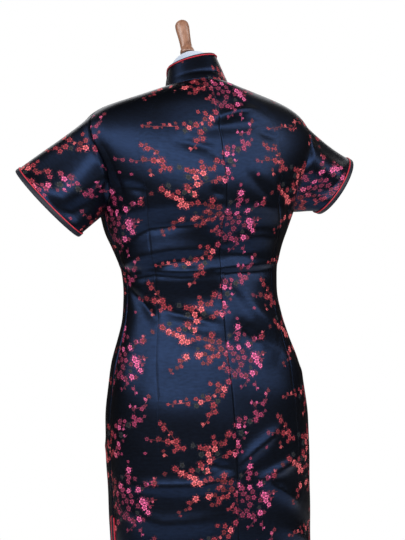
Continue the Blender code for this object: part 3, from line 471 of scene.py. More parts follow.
def blossom_sprays():
    """The repeat: how much of a thread's surface is blossom or branch, its shade, and the tone across its
    petals.
    """
    group, b, given, put = new_group(
        "blossom_sprays",
        (("Flat", "Vector"),),
        tuple((label, "Float") for label in ("Blossom", "Branch", "Shade", "Petal", "Column")),
    )
    size = Vector((REPEAT[0] * CHART, REPEAT[1] * CHART, 0))
    half = (size.x / 2, size.y / 2, 4)
    best, local = 9.0, (9.0, 9.0, 0.0)
    flowers = [(*flower, shade) for shade, name in enumerate(SHADES) for flower in BLOSSOM_CHART[name]]
    for across, up, radius, shade in flowers + buds():
        radius *= BLOSSOM_RADIUS
        centre = (across * CHART, up * CHART, -shade * 1e-2 * radius)
        off = b.vector("SUBTRACT", given["Flat"], centre)
        off = b.vector("WRAP", off, half, tuple(-v for v in half))
        off = b.vector("MULTIPLY", off, (1 / radius,) * 3)
        gap = b.vector("LENGTH", off)
        closer = b.sum("LESS_THAN", gap, best)
        best = b.sum("MINIMUM", gap, best)
        local = b.blend(closer, local, off, "VECTOR")
    parts = b.add("ShaderNodeSeparateXYZ", local).outputs
    shade = b.sum("MULTIPLY", parts["Z"], 1e2)
    turn = b.sum("ADD", b.sum("ARCTAN2", parts["Y"], parts["X"]), b.sum("MULTIPLY", shade, 0.5))
    lobe = b.sum("ABSOLUTE", b.sum("COSINE", b.sum("MULTIPLY", turn, 2.5)))
    edge = b.sum("MULTIPLY_ADD", b.sum("POWER", lobe, 0.6), 0.42, 0.62)
    inside = b.sum("SUBTRACT", edge, best)
    blossom = b.add("ShaderNodeMapRange", inside, -0.03, 0.05, 0.0, 1.0).outputs[0]
    rings = b.ramp(best, (0.0, 1.6), (0.12, 1.4), (0.20, 0.15), (0.30, 0.25), (0.42, 0.75), (0.66, 0.9),
                   (0.78, 1.9), (1.0, 1.5))
    clefts = b.add("ShaderNodeMapRange", lobe, 0.05, 0.50, 0.25, 1.0).outputs[0]
    petal = b.sum("MULTIPLY", rings, clefts)
    specks = b.noise(given["Flat"], 330.0, 1.0)
    leaves = b.sum("MULTIPLY", b.add("ShaderNodeMapRange", best, 1.9, 1.2, 0.0, 1.0).outputs[0],
                   b.add("ShaderNodeMapRange", specks, 0.53, 0.60, 0.0, 1.0).outputs[0])
    thin = None
    for x0, y0, x1, y1 in BRANCH_CHART:
        start = (x0 * CHART, y0 * CHART, 0)
        way = Vector(((x1 - x0) * CHART, (y1 - y0) * CHART, 0))
        off = b.vector("WRAP", b.vector("SUBTRACT", given["Flat"], start), half, tuple(-v for v in half))
        along = b.vector("DOT_PRODUCT", off, tuple(way / way.length_squared))
        share = b.add("ShaderNodeClamp", along).outputs[0]
        gap = b.vector("DISTANCE", off, b.scaled(tuple(way), share))
        thin = gap if thin is None else b.sum("MINIMUM", thin, gap)
    branch = b.sum("MAXIMUM", b.add("ShaderNodeMapRange", thin, 0.0008, 0.0004, 0.0, 1.0).outputs[0], leaves)
    flat = b.add("ShaderNodeSeparateXYZ", given["Flat"]).outputs
    column = b.sum("WRAP", flat["X"], size.x, 0.0)
    b.wire(blossom, put["Blossom"])
    b.wire(branch, put["Branch"])
    b.wire(shade, put["Shade"])
    b.wire(petal, put["Petal"])
    b.wire(b.sum("DIVIDE", column, size.x), put["Column"])
    return group


def satin_threads():
    """Satin's fine weave: the warp's floats as a low relief, and slubs that change the colour a little."""
    group, b, given, put = new_group(
        "satin_threads",
        (("Flat", "Vector"), ("Pitch", "Float")),
        (("Relief", "Float"), ("Slub", "Float")),
    )
    stretched = b.vector("MULTIPLY", given["Flat"], (1.0, 0.22, 1.0))
    fine = b.add("ShaderNodeTexNoise")
    b.wire(stretched, fine.inputs["Vector"])
    b.wire(given["Pitch"], fine.inputs["Scale"])
    fine.inputs["Detail"].default_value = 1.0
    wide = b.noise(b.vector("MULTIPLY", given["Flat"], (0.35, 1.0, 1.0)), 260.0, 2.0)
    b.wire(fine.outputs[0], put["Relief"])
    b.wire(wide, put["Slub"])
    return group


SPRAYS, THREADS = blossom_sprays(), satin_threads()
GROUND = (0.0052, 0.0108, 0.0275)
CORAL, PINK, BLACK = (0.255, 0.022, 0.034), (0.280, 0.026, 0.082), (0.012, 0.013, 0.016)
SALMON, ROSE = (0.430, 0.072, 0.080), (0.440, 0.066, 0.170)


def new_material(name):
    """A material with its own bench and its Principled shader."""
    m = bpy.data.materials.new(name)
    m.use_nodes = True
    return m, NodeBench(m.node_tree), m.node_tree.nodes["Principled BSDF"].inputs


def group_node(bench, group):
    node = bench.tree.nodes.new("ShaderNodeGroup")
    node.node_tree = group
    return node


def flat_metres(bench):
    return bench.add("ShaderNodeUVMap", uv_map="UVMap").outputs[0]


def brocade_look():
    m, b, shader = new_material("navy_brocade")
    flat = flat_metres(b)
    sprays, threads = group_node(b, SPRAYS), group_node(b, THREADS)
    b.wire(flat, sprays.inputs["Flat"])
    b.wire(flat, threads.inputs["Flat"])
    threads.inputs["Pitch"].default_value = 2600.0
    relief, slub = threads.outputs["Relief"], threads.outputs["Slub"]
    ground = b.blend(b.add("ShaderNodeMapRange", slub, 0.3, 0.7, 0.0, 1.0).outputs[0],
                     (*(0.80 * v for v in GROUND), 1), (*(1.20 * v for v in GROUND), 1))
    pinkness = b.ramp(sprays.outputs["Column"], (0.0, 0.15), (0.10, 0.0), (0.58, 0.0), (0.70, 1.0),
                      (0.95, 1.0), (1.0, 0.15))
    thread = b.blend(pinkness, (*CORAL, 1), (*PINK, 1))
    shade = sprays.outputs["Shade"]
    light = b.ramp(b.sum("DIVIDE", shade, 4.0), (0.0, 0.70), (0.125, 0.70), (0.25, 1.45), (0.375, 0.7),
                   (0.5, 0.40), (0.625, 0.40), (1.0, 0.30))
    thread = b.blend(1.0, thread, light)
    thread.node.blend_type = "MULTIPLY"
    thread = b.blend(b.sum("COMPARE", shade, 1.0, 0.3), thread, b.blend(pinkness, (*SALMON, 1), (*ROSE, 1)))
    is_grey = b.sum("COMPARE", shade, 3.0, 0.3)
    thread = b.blend(is_grey, thread, (*BLACK, 1))
    petals = b.blend(1.0, thread, sprays.outputs["Petal"])
    petals.node.blend_type = "MULTIPLY"
    stems = b.blend(1.0, thread, (0.55, 0.55, 0.55, 1))
    stems.node.blend_type = "MULTIPLY"
    colour = b.blend(sprays.outputs["Branch"], ground, stems)
    colour = b.blend(sprays.outputs["Blossom"], colour, petals)
    figured = b.sum("MAXIMUM", sprays.outputs["Branch"], sprays.outputs["Blossom"])
    kept = b.add("ShaderNodeAttribute", attribute_name="dart_gap").outputs["Fac"]
    dart = b.sum("ABSOLUTE", b.sum("SUBTRACT", kept, 1.0))
    # painted shade: near-black blended in along the dart's line, standing in for the shade in its fold
    dart_painted_shade = b.add("ShaderNodeMapRange", dart, 0.0003, 0.0013, 0.45, 0.0).outputs[0]
    b.wire(b.blend(dart_painted_shade, colour, (0.0015, 0.0020, 0.0040, 1)), shader["Base Color"])
    b.wire(b.add("ShaderNodeMapRange", figured, 0.0, 1.0, 0.98, 0.12).outputs[0], shader["Metallic"])
    b.wire(b.add("ShaderNodeMapRange", figured, 0.0, 1.0, 0.34, 0.50).outputs[0], shader["Roughness"])
    shader["Anisotropic"].default_value = 0.2
    shader["Specular IOR Level"].default_value = 0.2
    shader["Coat Weight"].default_value = 0.10
    shader["Coat Roughness"].default_value = 0.60
    depth = b.add("ShaderNodeMapRange", dart, 0.0, 0.004, 0.0, 1.0, interpolation_type="SMOOTHSTEP")
    weave = b.relief(relief, 0.12, 0.0002)
    b.wire(b.relief(depth.outputs[0], 0.6, 0.0012, weave), shader["Normal"])
    return m


BROCADE = brocade_look()

# The back. Two panels of brocade with a seam down the middle, each with a long dart, cut so that the repeat
# starts level on both. The skirt's sides are left open in slits above the hem.
ARMHOLE_DIP = math.radians(25)
NECKLINE_INSET, NECKLINE_SHARE = 0.0050, 0.42
SLIT_SPREAD = math.radians(3.5)
PANEL_STEPS = 100
SKIRT_STEPS, BODICE_STEPS = 150, 64
WALL = 0.0010
SEAM_SINK, SEAM_ROLL, MIDDLE_SINK = 0.0013, 0.0026, 0.20


def slit_line(side, sign, height):
    opened = ease((SLIT_TOP - height) / (SLIT_TOP - HEM))
    return side - sign * (SEAM / 2 / ALONG + SLIT_SPREAD * opened)


def armhole_line(side, sign, share):
    angle = side - sign * (ARMHOLE_DIP * np.abs(np.sin(math.pi * share)) ** 0.8 + SEAM / 2 / ALONG)
    return np.stack(np.broadcast_arrays(angle, UNDERARM + TIP_RUN * share), axis=-1)


def neck_and_shoulder_line(middle, side, sign, share):
    edge, tip, end = FULL_RUN - NECKLINE_INSET, UNDERARM + TIP_RUN, side - sign * SEAM / 2 / 0.10
    on_neck = share < NECKLINE_SHARE
    angle = np.where(on_neck, mix(middle, end, share / NECKLINE_SHARE), end)
    run = np.where(on_neck, edge, mix(edge, tip, (share - NECKLINE_SHARE) / (1 - NECKLINE_SHARE)))
    return np.stack((angle, run), axis=-1)


def between_edges(bottom, top, start, end):
    """The places inside four edges: bottom and top run along the columns, start and end up the rows."""
    t, h = np.linspace(0, 1, len(bottom))[None, :, None], np.linspace(0, 1, len(start))[:, None, None]
    corners = mix(mix(bottom[0], bottom[-1], t), mix(top[0], top[-1], t), h)
    return bottom * (1 - h) + top * h + start[:, None] * (1 - t) + end[:, None] * t - corners


def half_panel(middle, side, sign, columns, bodice_rows):
    """The angles and runs of half a panel, from its middle to its side and from the hem to the shoulder."""
    t = np.linspace(0, 1, columns + 1)
    heights = np.concatenate((np.linspace(HEM, 0.80, 61)[:-1],
                              np.linspace(0.80, UNDERARM, SKIRT_STEPS - 60 + 1)))
    skirt = np.stack(np.broadcast_arrays(mix(middle, slit_line(side, sign, heights)[:, None], t),
                                         heights[:, None]), axis=-1)
    h = np.linspace(0, 1, bodice_rows + 1)
    rise = np.stack((np.full(len(h), middle), mix(UNDERARM, FULL_RUN - NECKLINE_INSET, h)), axis=-1)
    bodice = between_edges(skirt[-1], neck_and_shoulder_line(middle, side, sign, t), rise,
                           armhole_line(side, sign, h))
    return np.concatenate((skirt, bodice[1:]))


def relaxed(points, flat, rounds):
    """Moves a flat cut's inner points until its threads are as long as on the dress; two edges stay."""
    pairs = ((np.s_[:, :-1], np.s_[:, 1:]), (np.s_[:-1], np.s_[1:]), (np.s_[:-1, :-1], np.s_[1:, 1:]),
             (np.s_[:-1, 1:], np.s_[1:, :-1]))
    wanted = [np.linalg.norm(points[b] - points[a], axis=-1, keepdims=True) for a, b in pairs]
    flat = flat.copy()
    for _ in range(rounds):
        move, count = np.zeros_like(flat), np.zeros((*flat.shape[:2], 1))
        for (a, b), length in zip(pairs, wanted):
            way = flat[b] - flat[a]
            pull = way * (0.5 - 0.5 * length / np.linalg.norm(way, axis=-1, keepdims=True))
            move[a] += pull
            move[b] -= pull
            count[a] += 1
            count[b] += 1
        move /= count
        move[0] = move[:, 0] = 0
        flat += move * 1.6
    return flat


def settled(points, flat, first, step=4):
    """A flat cut relaxed above its first rows: on every fourth thread, then on all."""
    p, f = points[first:], flat[first:]
    rows = np.unique(np.append(np.arange(0, len(p), step), len(p) - 1))
    columns = np.unique(np.append(np.arange(0, p.shape[1], step), p.shape[1] - 1))
    coarse = relaxed(p[np.ix_(rows, columns)], f[np.ix_(rows, columns)], 1200) - f[np.ix_(rows, columns)]
    shift = np.empty_like(f)
    for k in range(2):
        wide = np.array([np.interp(np.arange(p.shape[1]), columns, row) for row in coarse[..., k]])
        shift[..., k] = np.array([np.interp(np.arange(len(p)), rows, line) for line in wide.T]).T
    return np.concatenate((flat[:first], relaxed(p, f + shift, 60)))


def flat_cut(points, skirt_rows):
    """The flat cut of half a panel, from its middle outwards: level threads below the arm, and above it the
    shape between the middle line, the armhole, the shoulder seam and the neckline."""
    across, up = lengths(points, 1), lengths(points[:, :1], 0)[:, 0]
    flat = np.stack(np.broadcast_arrays(across, up[:, None]), axis=-1)
    low = flat[skirt_rows]
    width, base = low[-1, 0], low[0, 1]
    h = np.linspace(0, 1, len(points) - skirt_rows)
    climb = points[skirt_rows:, -1, 2] - points[skirt_rows, -1, 2]
    tip = np.array((0.205, base + climb[-1] * 1.02))
    hollow = 0.016 * np.sin(math.pi * h)
    armhole = np.stack((mix(width, tip[0], ease(h * 1.7)) - hollow, base + climb * 1.02), axis=-1)
    rise = np.stack((np.zeros(len(h)), up[skirt_rows:]), axis=-1)
    neck = np.array((0.074, tip[1] + 0.034))
    t = np.linspace(0, 1, points.shape[1])[:, None]
    on_neck = np.clip(t / NECKLINE_SHARE, 0, 1)
    neckline = rise[-1] + (neck - rise[-1]) * np.concatenate((on_neck, on_neck**2), axis=1)
    top = np.where(t < NECKLINE_SHARE, neckline, mix(neck, tip, (t - NECKLINE_SHARE) / (1 - NECKLINE_SHARE)))
    bodice = between_edges(low, top, rise, armhole)
    return settled(points, np.concatenate((flat[:skirt_rows], bodice)), skirt_rows)


def sewn(points, normals, columns=(), rows=(), middle=0):
    """Lets the cloth sink at its sewn edges, given as columns and rows, and less at its middle column."""
    across, up = lengths(points, 1), lengths(points, 0)
    gaps = [np.abs(across - across[:, c][:, None]) for c in columns] + [np.abs(up - up[r]) for r in rows]
    sink = sum(np.exp(-((gap / SEAM_ROLL) ** 2)) for gap in gaps)
    sink = np.minimum(sink, 1)
    if middle is not None:
        sink += MIDDLE_SINK * np.exp(-(((across - across[:, middle][:, None]) / SEAM_ROLL) ** 2))
    pucker = 1 + 0.35 * np.sin(up * 460 + 3 * np.sin(up * 90))
    return points - normals * (SEAM_SINK * pucker * sink)[..., None]


LEFT_DART = np.array(((0.1130, 1.210), (0.1170, 1.145), (0.1240, 1.047), (0.1250, 1.002), (0.1110, 0.860)))
RIGHT_DART = np.array(((-0.0930, 1.185), (-0.1180, 1.145), (-0.1260, 1.060), (-0.1240, 1.002),
                       (-0.1110, 0.868)))


def mark_dart(piece, places, dart):
    """Keeps each point's distance from a dart's line as an attribute, for its sunk relief and painted shade.
    """
    along, run = places[..., 0].ravel() * ALONG, places[..., 1].ravel()
    line = np.interp(run, dart[::-1, 1], dart[::-1, 0])
    beyond = np.maximum(np.maximum(run - dart[0, 1], dart[-1, 1] - run), 0)
    gap = np.sign(along - line) * np.hypot(along - line, beyond)
    layers = len(piece.data.vertices) // len(gap)
    keep = piece.data.attributes.new("dart_gap", "FLOAT", "POINT")
    keep.data.foreach_set("value", np.tile(1 + gap, layers))


def cut_and_sew(name, places, flat, shift, seams, dart=None):
    """A panel of brocade: its cloth on the figure, its repeat shifted as it was cut, and its sewn edges."""
    points = worn(places[..., 0], places[..., 1], CLOTH - WALL / 2)
    points = sewn(points, figure_outward(places[..., 0], places[..., 1]), **seams)
    piece = grid_piece(f"{name}_cloth", points, flat + np.array(shift), BROCADE, wall=WALL,
                       wall_side=0)
    if dart is not None:
        mark_dart(piece, places, dart)
    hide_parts(name)
    return piece, points


SKIRT_ROWS = SKIRT_STEPS
REPEAT_SHIFT = {"back_left": (0.145, 0.140), "back_right": (0.150, 0.140), "front": (0.060, 0.110)}
left_places = half_panel(BACK_MIDDLE, LEFT_SIDE, 1, PANEL_STEPS, BODICE_STEPS)
left_flat = flat_cut(worn(left_places[..., 0], left_places[..., 1], CLOTH), SKIRT_ROWS) * (-1, 1)
back_left, points = cut_and_sew("back_left", left_places, left_flat, REPEAT_SHIFT["back_left"],
                                {"columns": (-1,), "rows": (-1,)}, LEFT_DART)
face_area(points)

right_places = half_panel(BACK_MIDDLE, -LEFT_SIDE, -1, PANEL_STEPS, BODICE_STEPS)
right_flat = flat_cut(worn(right_places[..., 0], right_places[..., 1], CLOTH), SKIRT_ROWS)
back_right, points = cut_and_sew("back_right", right_places[:, ::-1], right_flat[:, ::-1],
                                 REPEAT_SHIFT["back_right"],
                                 {"columns": (0,), "rows": (-1,), "middle": -1}, RIGHT_DART)
face_area(points)

# The front. One panel to the left shoulder, cut away along a slanted curve from the neck to the right
# armhole, and an underlap of the same brocade that fills the right shoulder and is closed over with frogs.
OPENING_TOP, OPENING_FOOT, OPENING_BINDING, OPENING_LOW_SHARE = math.radians(190), 0.0105, 0.006, 0.05
UNDERLAP_NECK = math.radians(196)
UNDERLAP_STEPS, UNDERLAP_ROWS = 72, 40
FRONT_STEPS = 50
opening_low_angle = armhole_line(RIGHT_SIDE, 1, OPENING_FOOT / TIP_RUN)[0]


def opening_line(share):
    share = np.asarray(share, float)
    angle = mix(OPENING_TOP, opening_low_angle, (1 - share) ** 1.8)
    return np.stack((angle, mix(UNDERARM + OPENING_FOOT, FULL_RUN - NECKLINE_INSET, share)), axis=-1)


def beside_opening(share, metres):
    """The places beside the opening, metres to the wearer's left of it and below."""
    share = np.asarray(share, float)
    place = opening_line(share)
    way = opening_line(np.minimum(share + 1e-3, 1)) - opening_line(np.maximum(share - 1e-3, 0))
    face = figure_face(place[..., 0], place[..., 1])
    across = np.linalg.norm(figure_face(place[..., 0] + 1e-3, place[..., 1]) - face, axis=-1) / 1e-3
    way = unit(np.stack((way[..., 0] * across, way[..., 1]), axis=-1))
    return place + np.stack((-way[..., 1] * metres / across, way[..., 0] * metres), axis=-1)


def up_the_opening(share):
    return (share - OPENING_LOW_SHARE) / (1 - OPENING_LOW_SHARE)


left_half = half_panel(FRONT_MIDDLE, LEFT_SIDE, -1, FRONT_STEPS, BODICE_STEPS)
right_half = half_panel(FRONT_MIDDLE, RIGHT_SIDE, 1, FRONT_STEPS, BODICE_STEPS)
shares = np.linspace(0, 1, BODICE_STEPS + 1)[1:]
edge = beside_opening(np.clip(up_the_opening(shares), 0, 1), 0.0012)
low_edge = right_half[SKIRT_ROWS, -1]
start_up = np.clip(shares / OPENING_LOW_SHARE, 0, 1)[:, None]
edge = np.where(start_up < 1, mix(low_edge, edge, start_up), edge)
t = np.linspace(0, 1, FRONT_STEPS + 1)[None, :, None]
right_half[SKIRT_ROWS + 1:] = mix(left_half[SKIRT_ROWS + 1:, :1], edge[:, None], t)
front_places = np.concatenate((left_half[:, :0:-1], right_half), axis=1)
left_flat = flat_cut(worn(left_half[..., 0], left_half[..., 1], CLOTH), SKIRT_ROWS)
right_points = worn(right_half[..., 0], right_half[..., 1], CLOTH)
right_flat = np.stack(np.broadcast_arrays(lengths(right_points, 1), left_flat[:, :1, 1]), axis=-1)
right_flat = settled(right_points, right_flat, SKIRT_ROWS)
front_flat = np.concatenate((left_flat[:, :0:-1], right_flat * (-1, 1)), axis=1)
front, points = cut_and_sew("front", front_places, front_flat, REPEAT_SHIFT["front"],
                            {"columns": (0,), "middle": None})
face_area(points)

share = np.linspace(0, 1, UNDERLAP_STEPS + 1)
rise = np.linspace(0, 1, UNDERLAP_ROWS + 1)[:, None]
lower = beside_opening(1 - share, -SEAM)
upper = neck_and_shoulder_line(UNDERLAP_NECK, RIGHT_SIDE, 1, share)
foot = (OPENING_FOOT + SEAM) / TIP_RUN
slip = lower[-1] - armhole_line(RIGHT_SIDE, 1, foot)
outer = armhole_line(RIGHT_SIDE, 1, mix(foot, 1, rise[:, 0])) + slip * (1 - rise)
underlap_places = between_edges(lower, upper, mix(lower[0], upper[0], rise), outer)
underlap_points = worn(underlap_places[..., 0], underlap_places[..., 1], CLOTH)
underlap_flat = np.stack((-lengths(underlap_points, 1), lengths(underlap_points, 0)), axis=-1)
underlap, points = cut_and_sew("underlap", underlap_places, underlap_flat, (0.02, 0.05),
                               {"columns": (-1,), "rows": (-1,), "middle": None})
face_area(points)

# The bindings and pipings. Every free edge is bound with a folded strip of navy satin, and a thin red satin
# cord is sewn in along the binding's inner side.
BINDING_WIDTH, PIPING_RADIUS = 0.009, 0.0011
BINDING_SECTION = ((1.00, 0.0000), (0.97, 0.0009), (0.86, 0.0013), (0.50, 0.0015), (0.14, 0.0013),
                   (0.02, 0.0009), (-0.06, 0.0001), (-0.06, -0.0007), (0.04, -0.0014), (0.50, -0.0016),
                   (0.95, -0.0013))


def satin_look(name, base, metallic, roughness):
    m, b, shader = new_material(name)
    flat = flat_metres(b)
    threads = group_node(b, THREADS)
    b.wire(flat, threads.inputs["Flat"])
    threads.inputs["Pitch"].default_value = 2400.0
    tone = b.add("ShaderNodeMapRange", threads.outputs["Slub"], 0.3, 0.7, 0.0, 1.0).outputs[0]
    b.wire(b.blend(tone, (*(0.8 * v for v in base), 1), (*(1.2 * v for v in base), 1)), shader["Base Color"])
    b.wire(b.add("ShaderNodeMapRange", tone, 0.0, 1.0, roughness - 0.04, roughness + 0.04).outputs[0],
           shader["Roughness"])
    shader["Metallic"].default_value = metallic
    shader["Specular IOR Level"].default_value = 0.3
    b.wire(b.relief(threads.outputs["Relief"], 0.3, 0.0002), shader["Normal"])
    return m


NAVY_SATIN = satin_look("navy_satin", (0.0060, 0.0080, 0.0160), 0.20, 0.50)
RED_SATIN = satin_look("red_satin", (0.36, 0.016, 0.032), 0.0, 0.45)


def bound_edge(name, path, widths=BINDING_WIDTH, outwards=None):
    """A binding folded over an edge. path gives the worn places at a depth inside the edge."""
    rows = [worn(*np.moveaxis(path(depth * widths), -1, 0), CLOTH + out) for depth, out in BINDING_SECTION]
    points = np.array(rows)
    if outwards is not None:
        points = points[::-1]
    flat = np.stack((lengths(points, 1), lengths(points, 0)), axis=-1)
    piece = grid_piece(f"{name}_strip", points, flat, NAVY_SATIN)
    face_out(piece)
    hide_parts(name)
    long_way = float(lengths(points, 1)[:, -1].mean())
    face_area(points) / long_way
    return piece


def face_out(piece):
    bm = bmesh.new()
    bm.from_mesh(piece.data)
    bmesh.ops.recalc_face_normals(bm, faces=bm.faces)
    middle = sum((f.calc_center_median() * f.calc_area() for f in bm.faces), Vector())
    middle /= sum(f.calc_area() for f in bm.faces)
    outside = sum(f.normal.dot(f.calc_center_median() - middle) * f.calc_area() for f in bm.faces)
    if outside < 0:
        bmesh.ops.reverse_faces(bm, faces=bm.faces)
    bm.to_mesh(piece.data)
    bm.free()


def cord(node, line, radius, look, sides=10, closed=False, taper=False):
    """A round cord along a line of points, with its length and girth as its UV map."""
    name = f"{node}_cord"
    line = np.asarray(line, float)
    if closed:
        line = np.vstack((line, line[:1]))
    way = unit(np.gradient(line, axis=0))
    if closed:
        way[0] = way[-1] = unit(way[0] + way[-1])
    side = np.cross(way, (0.13, 0.21, 0.97))
    side = unit(np.where(np.linalg.norm(side, axis=-1, keepdims=True) < 0.2, np.cross(way, (1, 0, 0)), side))
    for i in range(1, len(side)):
        side[i] = unit(side[i - 1] - way[i] * (side[i - 1] @ way[i]))
    other = np.cross(way, side)
    turns = np.linspace(0, 2 * math.pi, sides + 1)
    girth = np.full(len(line), radius)
    if taper:
        girth[[0, -1]] = radius * 0.2
        girth[[1, -2]] = radius * 0.8
    ring = side[None] * np.cos(turns)[:, None, None] + other[None] * np.sin(turns)[:, None, None]
    points = line[None] + ring * girth[None, :, None]
    flat = np.stack(np.broadcast_arrays(lengths(points, 1), (turns * radius)[:, None]), axis=-1)
    piece = grid_piece(name, points, flat, look, ring=True)
    face_out(piece)
    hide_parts(node)
    return piece


def hem_line(middle, depth, slit_steps=60, hem_steps=160):
    """The way down one slit, along the hem and up the other slit, at a depth inside the edge."""
    sides = ((LEFT_SIDE, 1), (-LEFT_SIDE, -1)) if middle == 0 else ((LEFT_SIDE, -1), (RIGHT_SIDE, 1))
    turn = depth / (0.178 * 0.93)
    ends = []
    for side, sign in sides:
        heights = np.linspace(SLIT_TOP - 0.001, HEM + depth, slit_steps + 1)
        ends.append(np.stack((slit_line(side, sign, heights) - sign * turn, heights), axis=-1))
    hem = mix(ends[0][-1], ends[1][-1], np.linspace(0, 1, hem_steps + 1)[1:-1, None])
    return np.concatenate((ends[0], hem, ends[1][::-1]))


for half, middle in (("back", BACK_MIDDLE), ("front", FRONT_MIDDLE)):
    bound_edge(f"hem_binding_{half}", lambda depth: hem_line(middle, depth))
    places = hem_line(middle, BINDING_WIDTH)
    cord(f"hem_piping_{half}", worn(places[:, 0], places[:, 1], CLOTH + PIPING_RADIUS * 0.75),
         PIPING_RADIUS, RED_SATIN)
opening_shares = np.linspace(1, 0, 90)
bound_edge("opening_binding", lambda depth: beside_opening(opening_shares, depth), OPENING_BINDING)
places = beside_opening(opening_shares, OPENING_BINDING)
cord("opening_piping", worn(places[:, 0], places[:, 1], CLOTH + PIPING_RADIUS * 0.75),
     PIPING_RADIUS, RED_SATIN)

# The sleeves. Short and set in, each one piece of brocade sewn under the arm; they stand off the form's
# stumps and lean a little towards the front, with a satin binding and a red piping round the cuff.
SLEEVES = {
    "left": (1, (0.277, -0.006, 1.193), (0.045, -0.031, 0.057), (0.020, 0.042, -0.003)),
    "right": (-1, (0.280, -0.006, 1.218), (0.043, -0.030, 0.049), (0.006, 0.043, 0.010)),
}
SLEEVE_GAP, SLEEVE_TUCK, SLEEVE_AROUND, SLEEVE_ROWS = -0.0008, 0.0038, 104, 44
SLEEVE_GIRTH = 0.36
SLEEVE_REPEAT_SHIFT = {"left": (0.04, 0.02), "right": (0.10, 0.15)}
SLEEVE_CREASES = {
    "left": (
        ((0.30, 0.05), (0.27, 0.55), (0.25, 0.95), 0.0060, 0.020),
        ((0.13, 0.02), (0.16, 0.50), (0.17, 0.90), -0.0060, 0.018),
        ((0.21, 0.10), (0.20, 0.50), (0.21, 0.90), 0.0040, 0.016),
        ((0.40, 0.15), (0.38, 0.55), (0.36, 0.95), -0.0035, 0.018),
        ((0.62, 0.10), (0.65, 0.50), (0.68, 0.90), -0.0050, 0.022),
        ((0.80, 0.05), (0.78, 0.50), (0.76, 0.90), 0.0050, 0.022),
    ),
    "right": (
        ((0.30, 0.05), (0.27, 0.55), (0.25, 0.95), 0.0050, 0.022),
        ((0.14, 0.02), (0.17, 0.50), (0.18, 0.90), -0.0060, 0.020),
        ((0.40, 0.15), (0.38, 0.55), (0.36, 0.95), -0.0035, 0.020),
        ((0.64, 0.10), (0.66, 0.50), (0.68, 0.90), -0.0050, 0.022),
        ((0.80, 0.05), (0.78, 0.50), (0.76, 0.90), 0.0050, 0.022),
    ),
}


def sleeve_ribs(name, steps):
    """The four points of the curve from armhole to cuff, at each step round the sleeve's outer face."""
    side, *cuff = SLEEVES[name]
    middle, long_way, short_way = (np.array((side * x, y, z)) for x, y, z in cuff)
    middle = middle - (0, STAND_BACK, 0)
    axis = unit(middle - np.array((side * 0.19, -STAND_BACK, 1.262)))
    seam = LEFT_SIDE if side > 0 else RIGHT_SIDE
    share = np.linspace(0, 2, steps + 1)
    back = armhole_line(seam, side, np.clip(share, 0, 1))
    front = armhole_line(seam, -side, np.clip(2 - share, 0, 1))
    places = np.where(share[:, None] <= 1, back, front)
    turn = share * math.pi
    out = unit(np.stack(np.broadcast_arrays(side + 0 * turn, 0 * turn, -0.85 + 0.15 * np.cos(turn)), axis=-1))
    tuck = (1 + np.cos(turn)) * SLEEVE_TUCK / 2
    start = worn(places[:, 0], places[:, 1], CLOTH) + out * SLEEVE_GAP - np.outer(tuck, (side, 0, 0))
    end = middle - long_way * np.cos(turn)[:, None] + short_way * np.sin(turn)[:, None]
    reach = np.linalg.norm(end - start, axis=-1, keepdims=True)
    return start, start + out * reach * 0.24, end - axis * reach * 0.30, end


def on_ribs(ribs, share):
    """The points at shares of the way down the ribs, one row for each."""
    a, b, c, d = (r[None] for r in ribs)
    t = share[..., None] if share.ndim == 2 else share[:, None, None]
    u = 1 - t
    return a * u**3 + b * 3 * u * u * t + c * 3 * u * t * t + d * t**3


def grid_normals(points):
    up, across = np.gradient(points, axis=0), np.gradient(points, axis=1)
    return unit(np.cross(across, up))


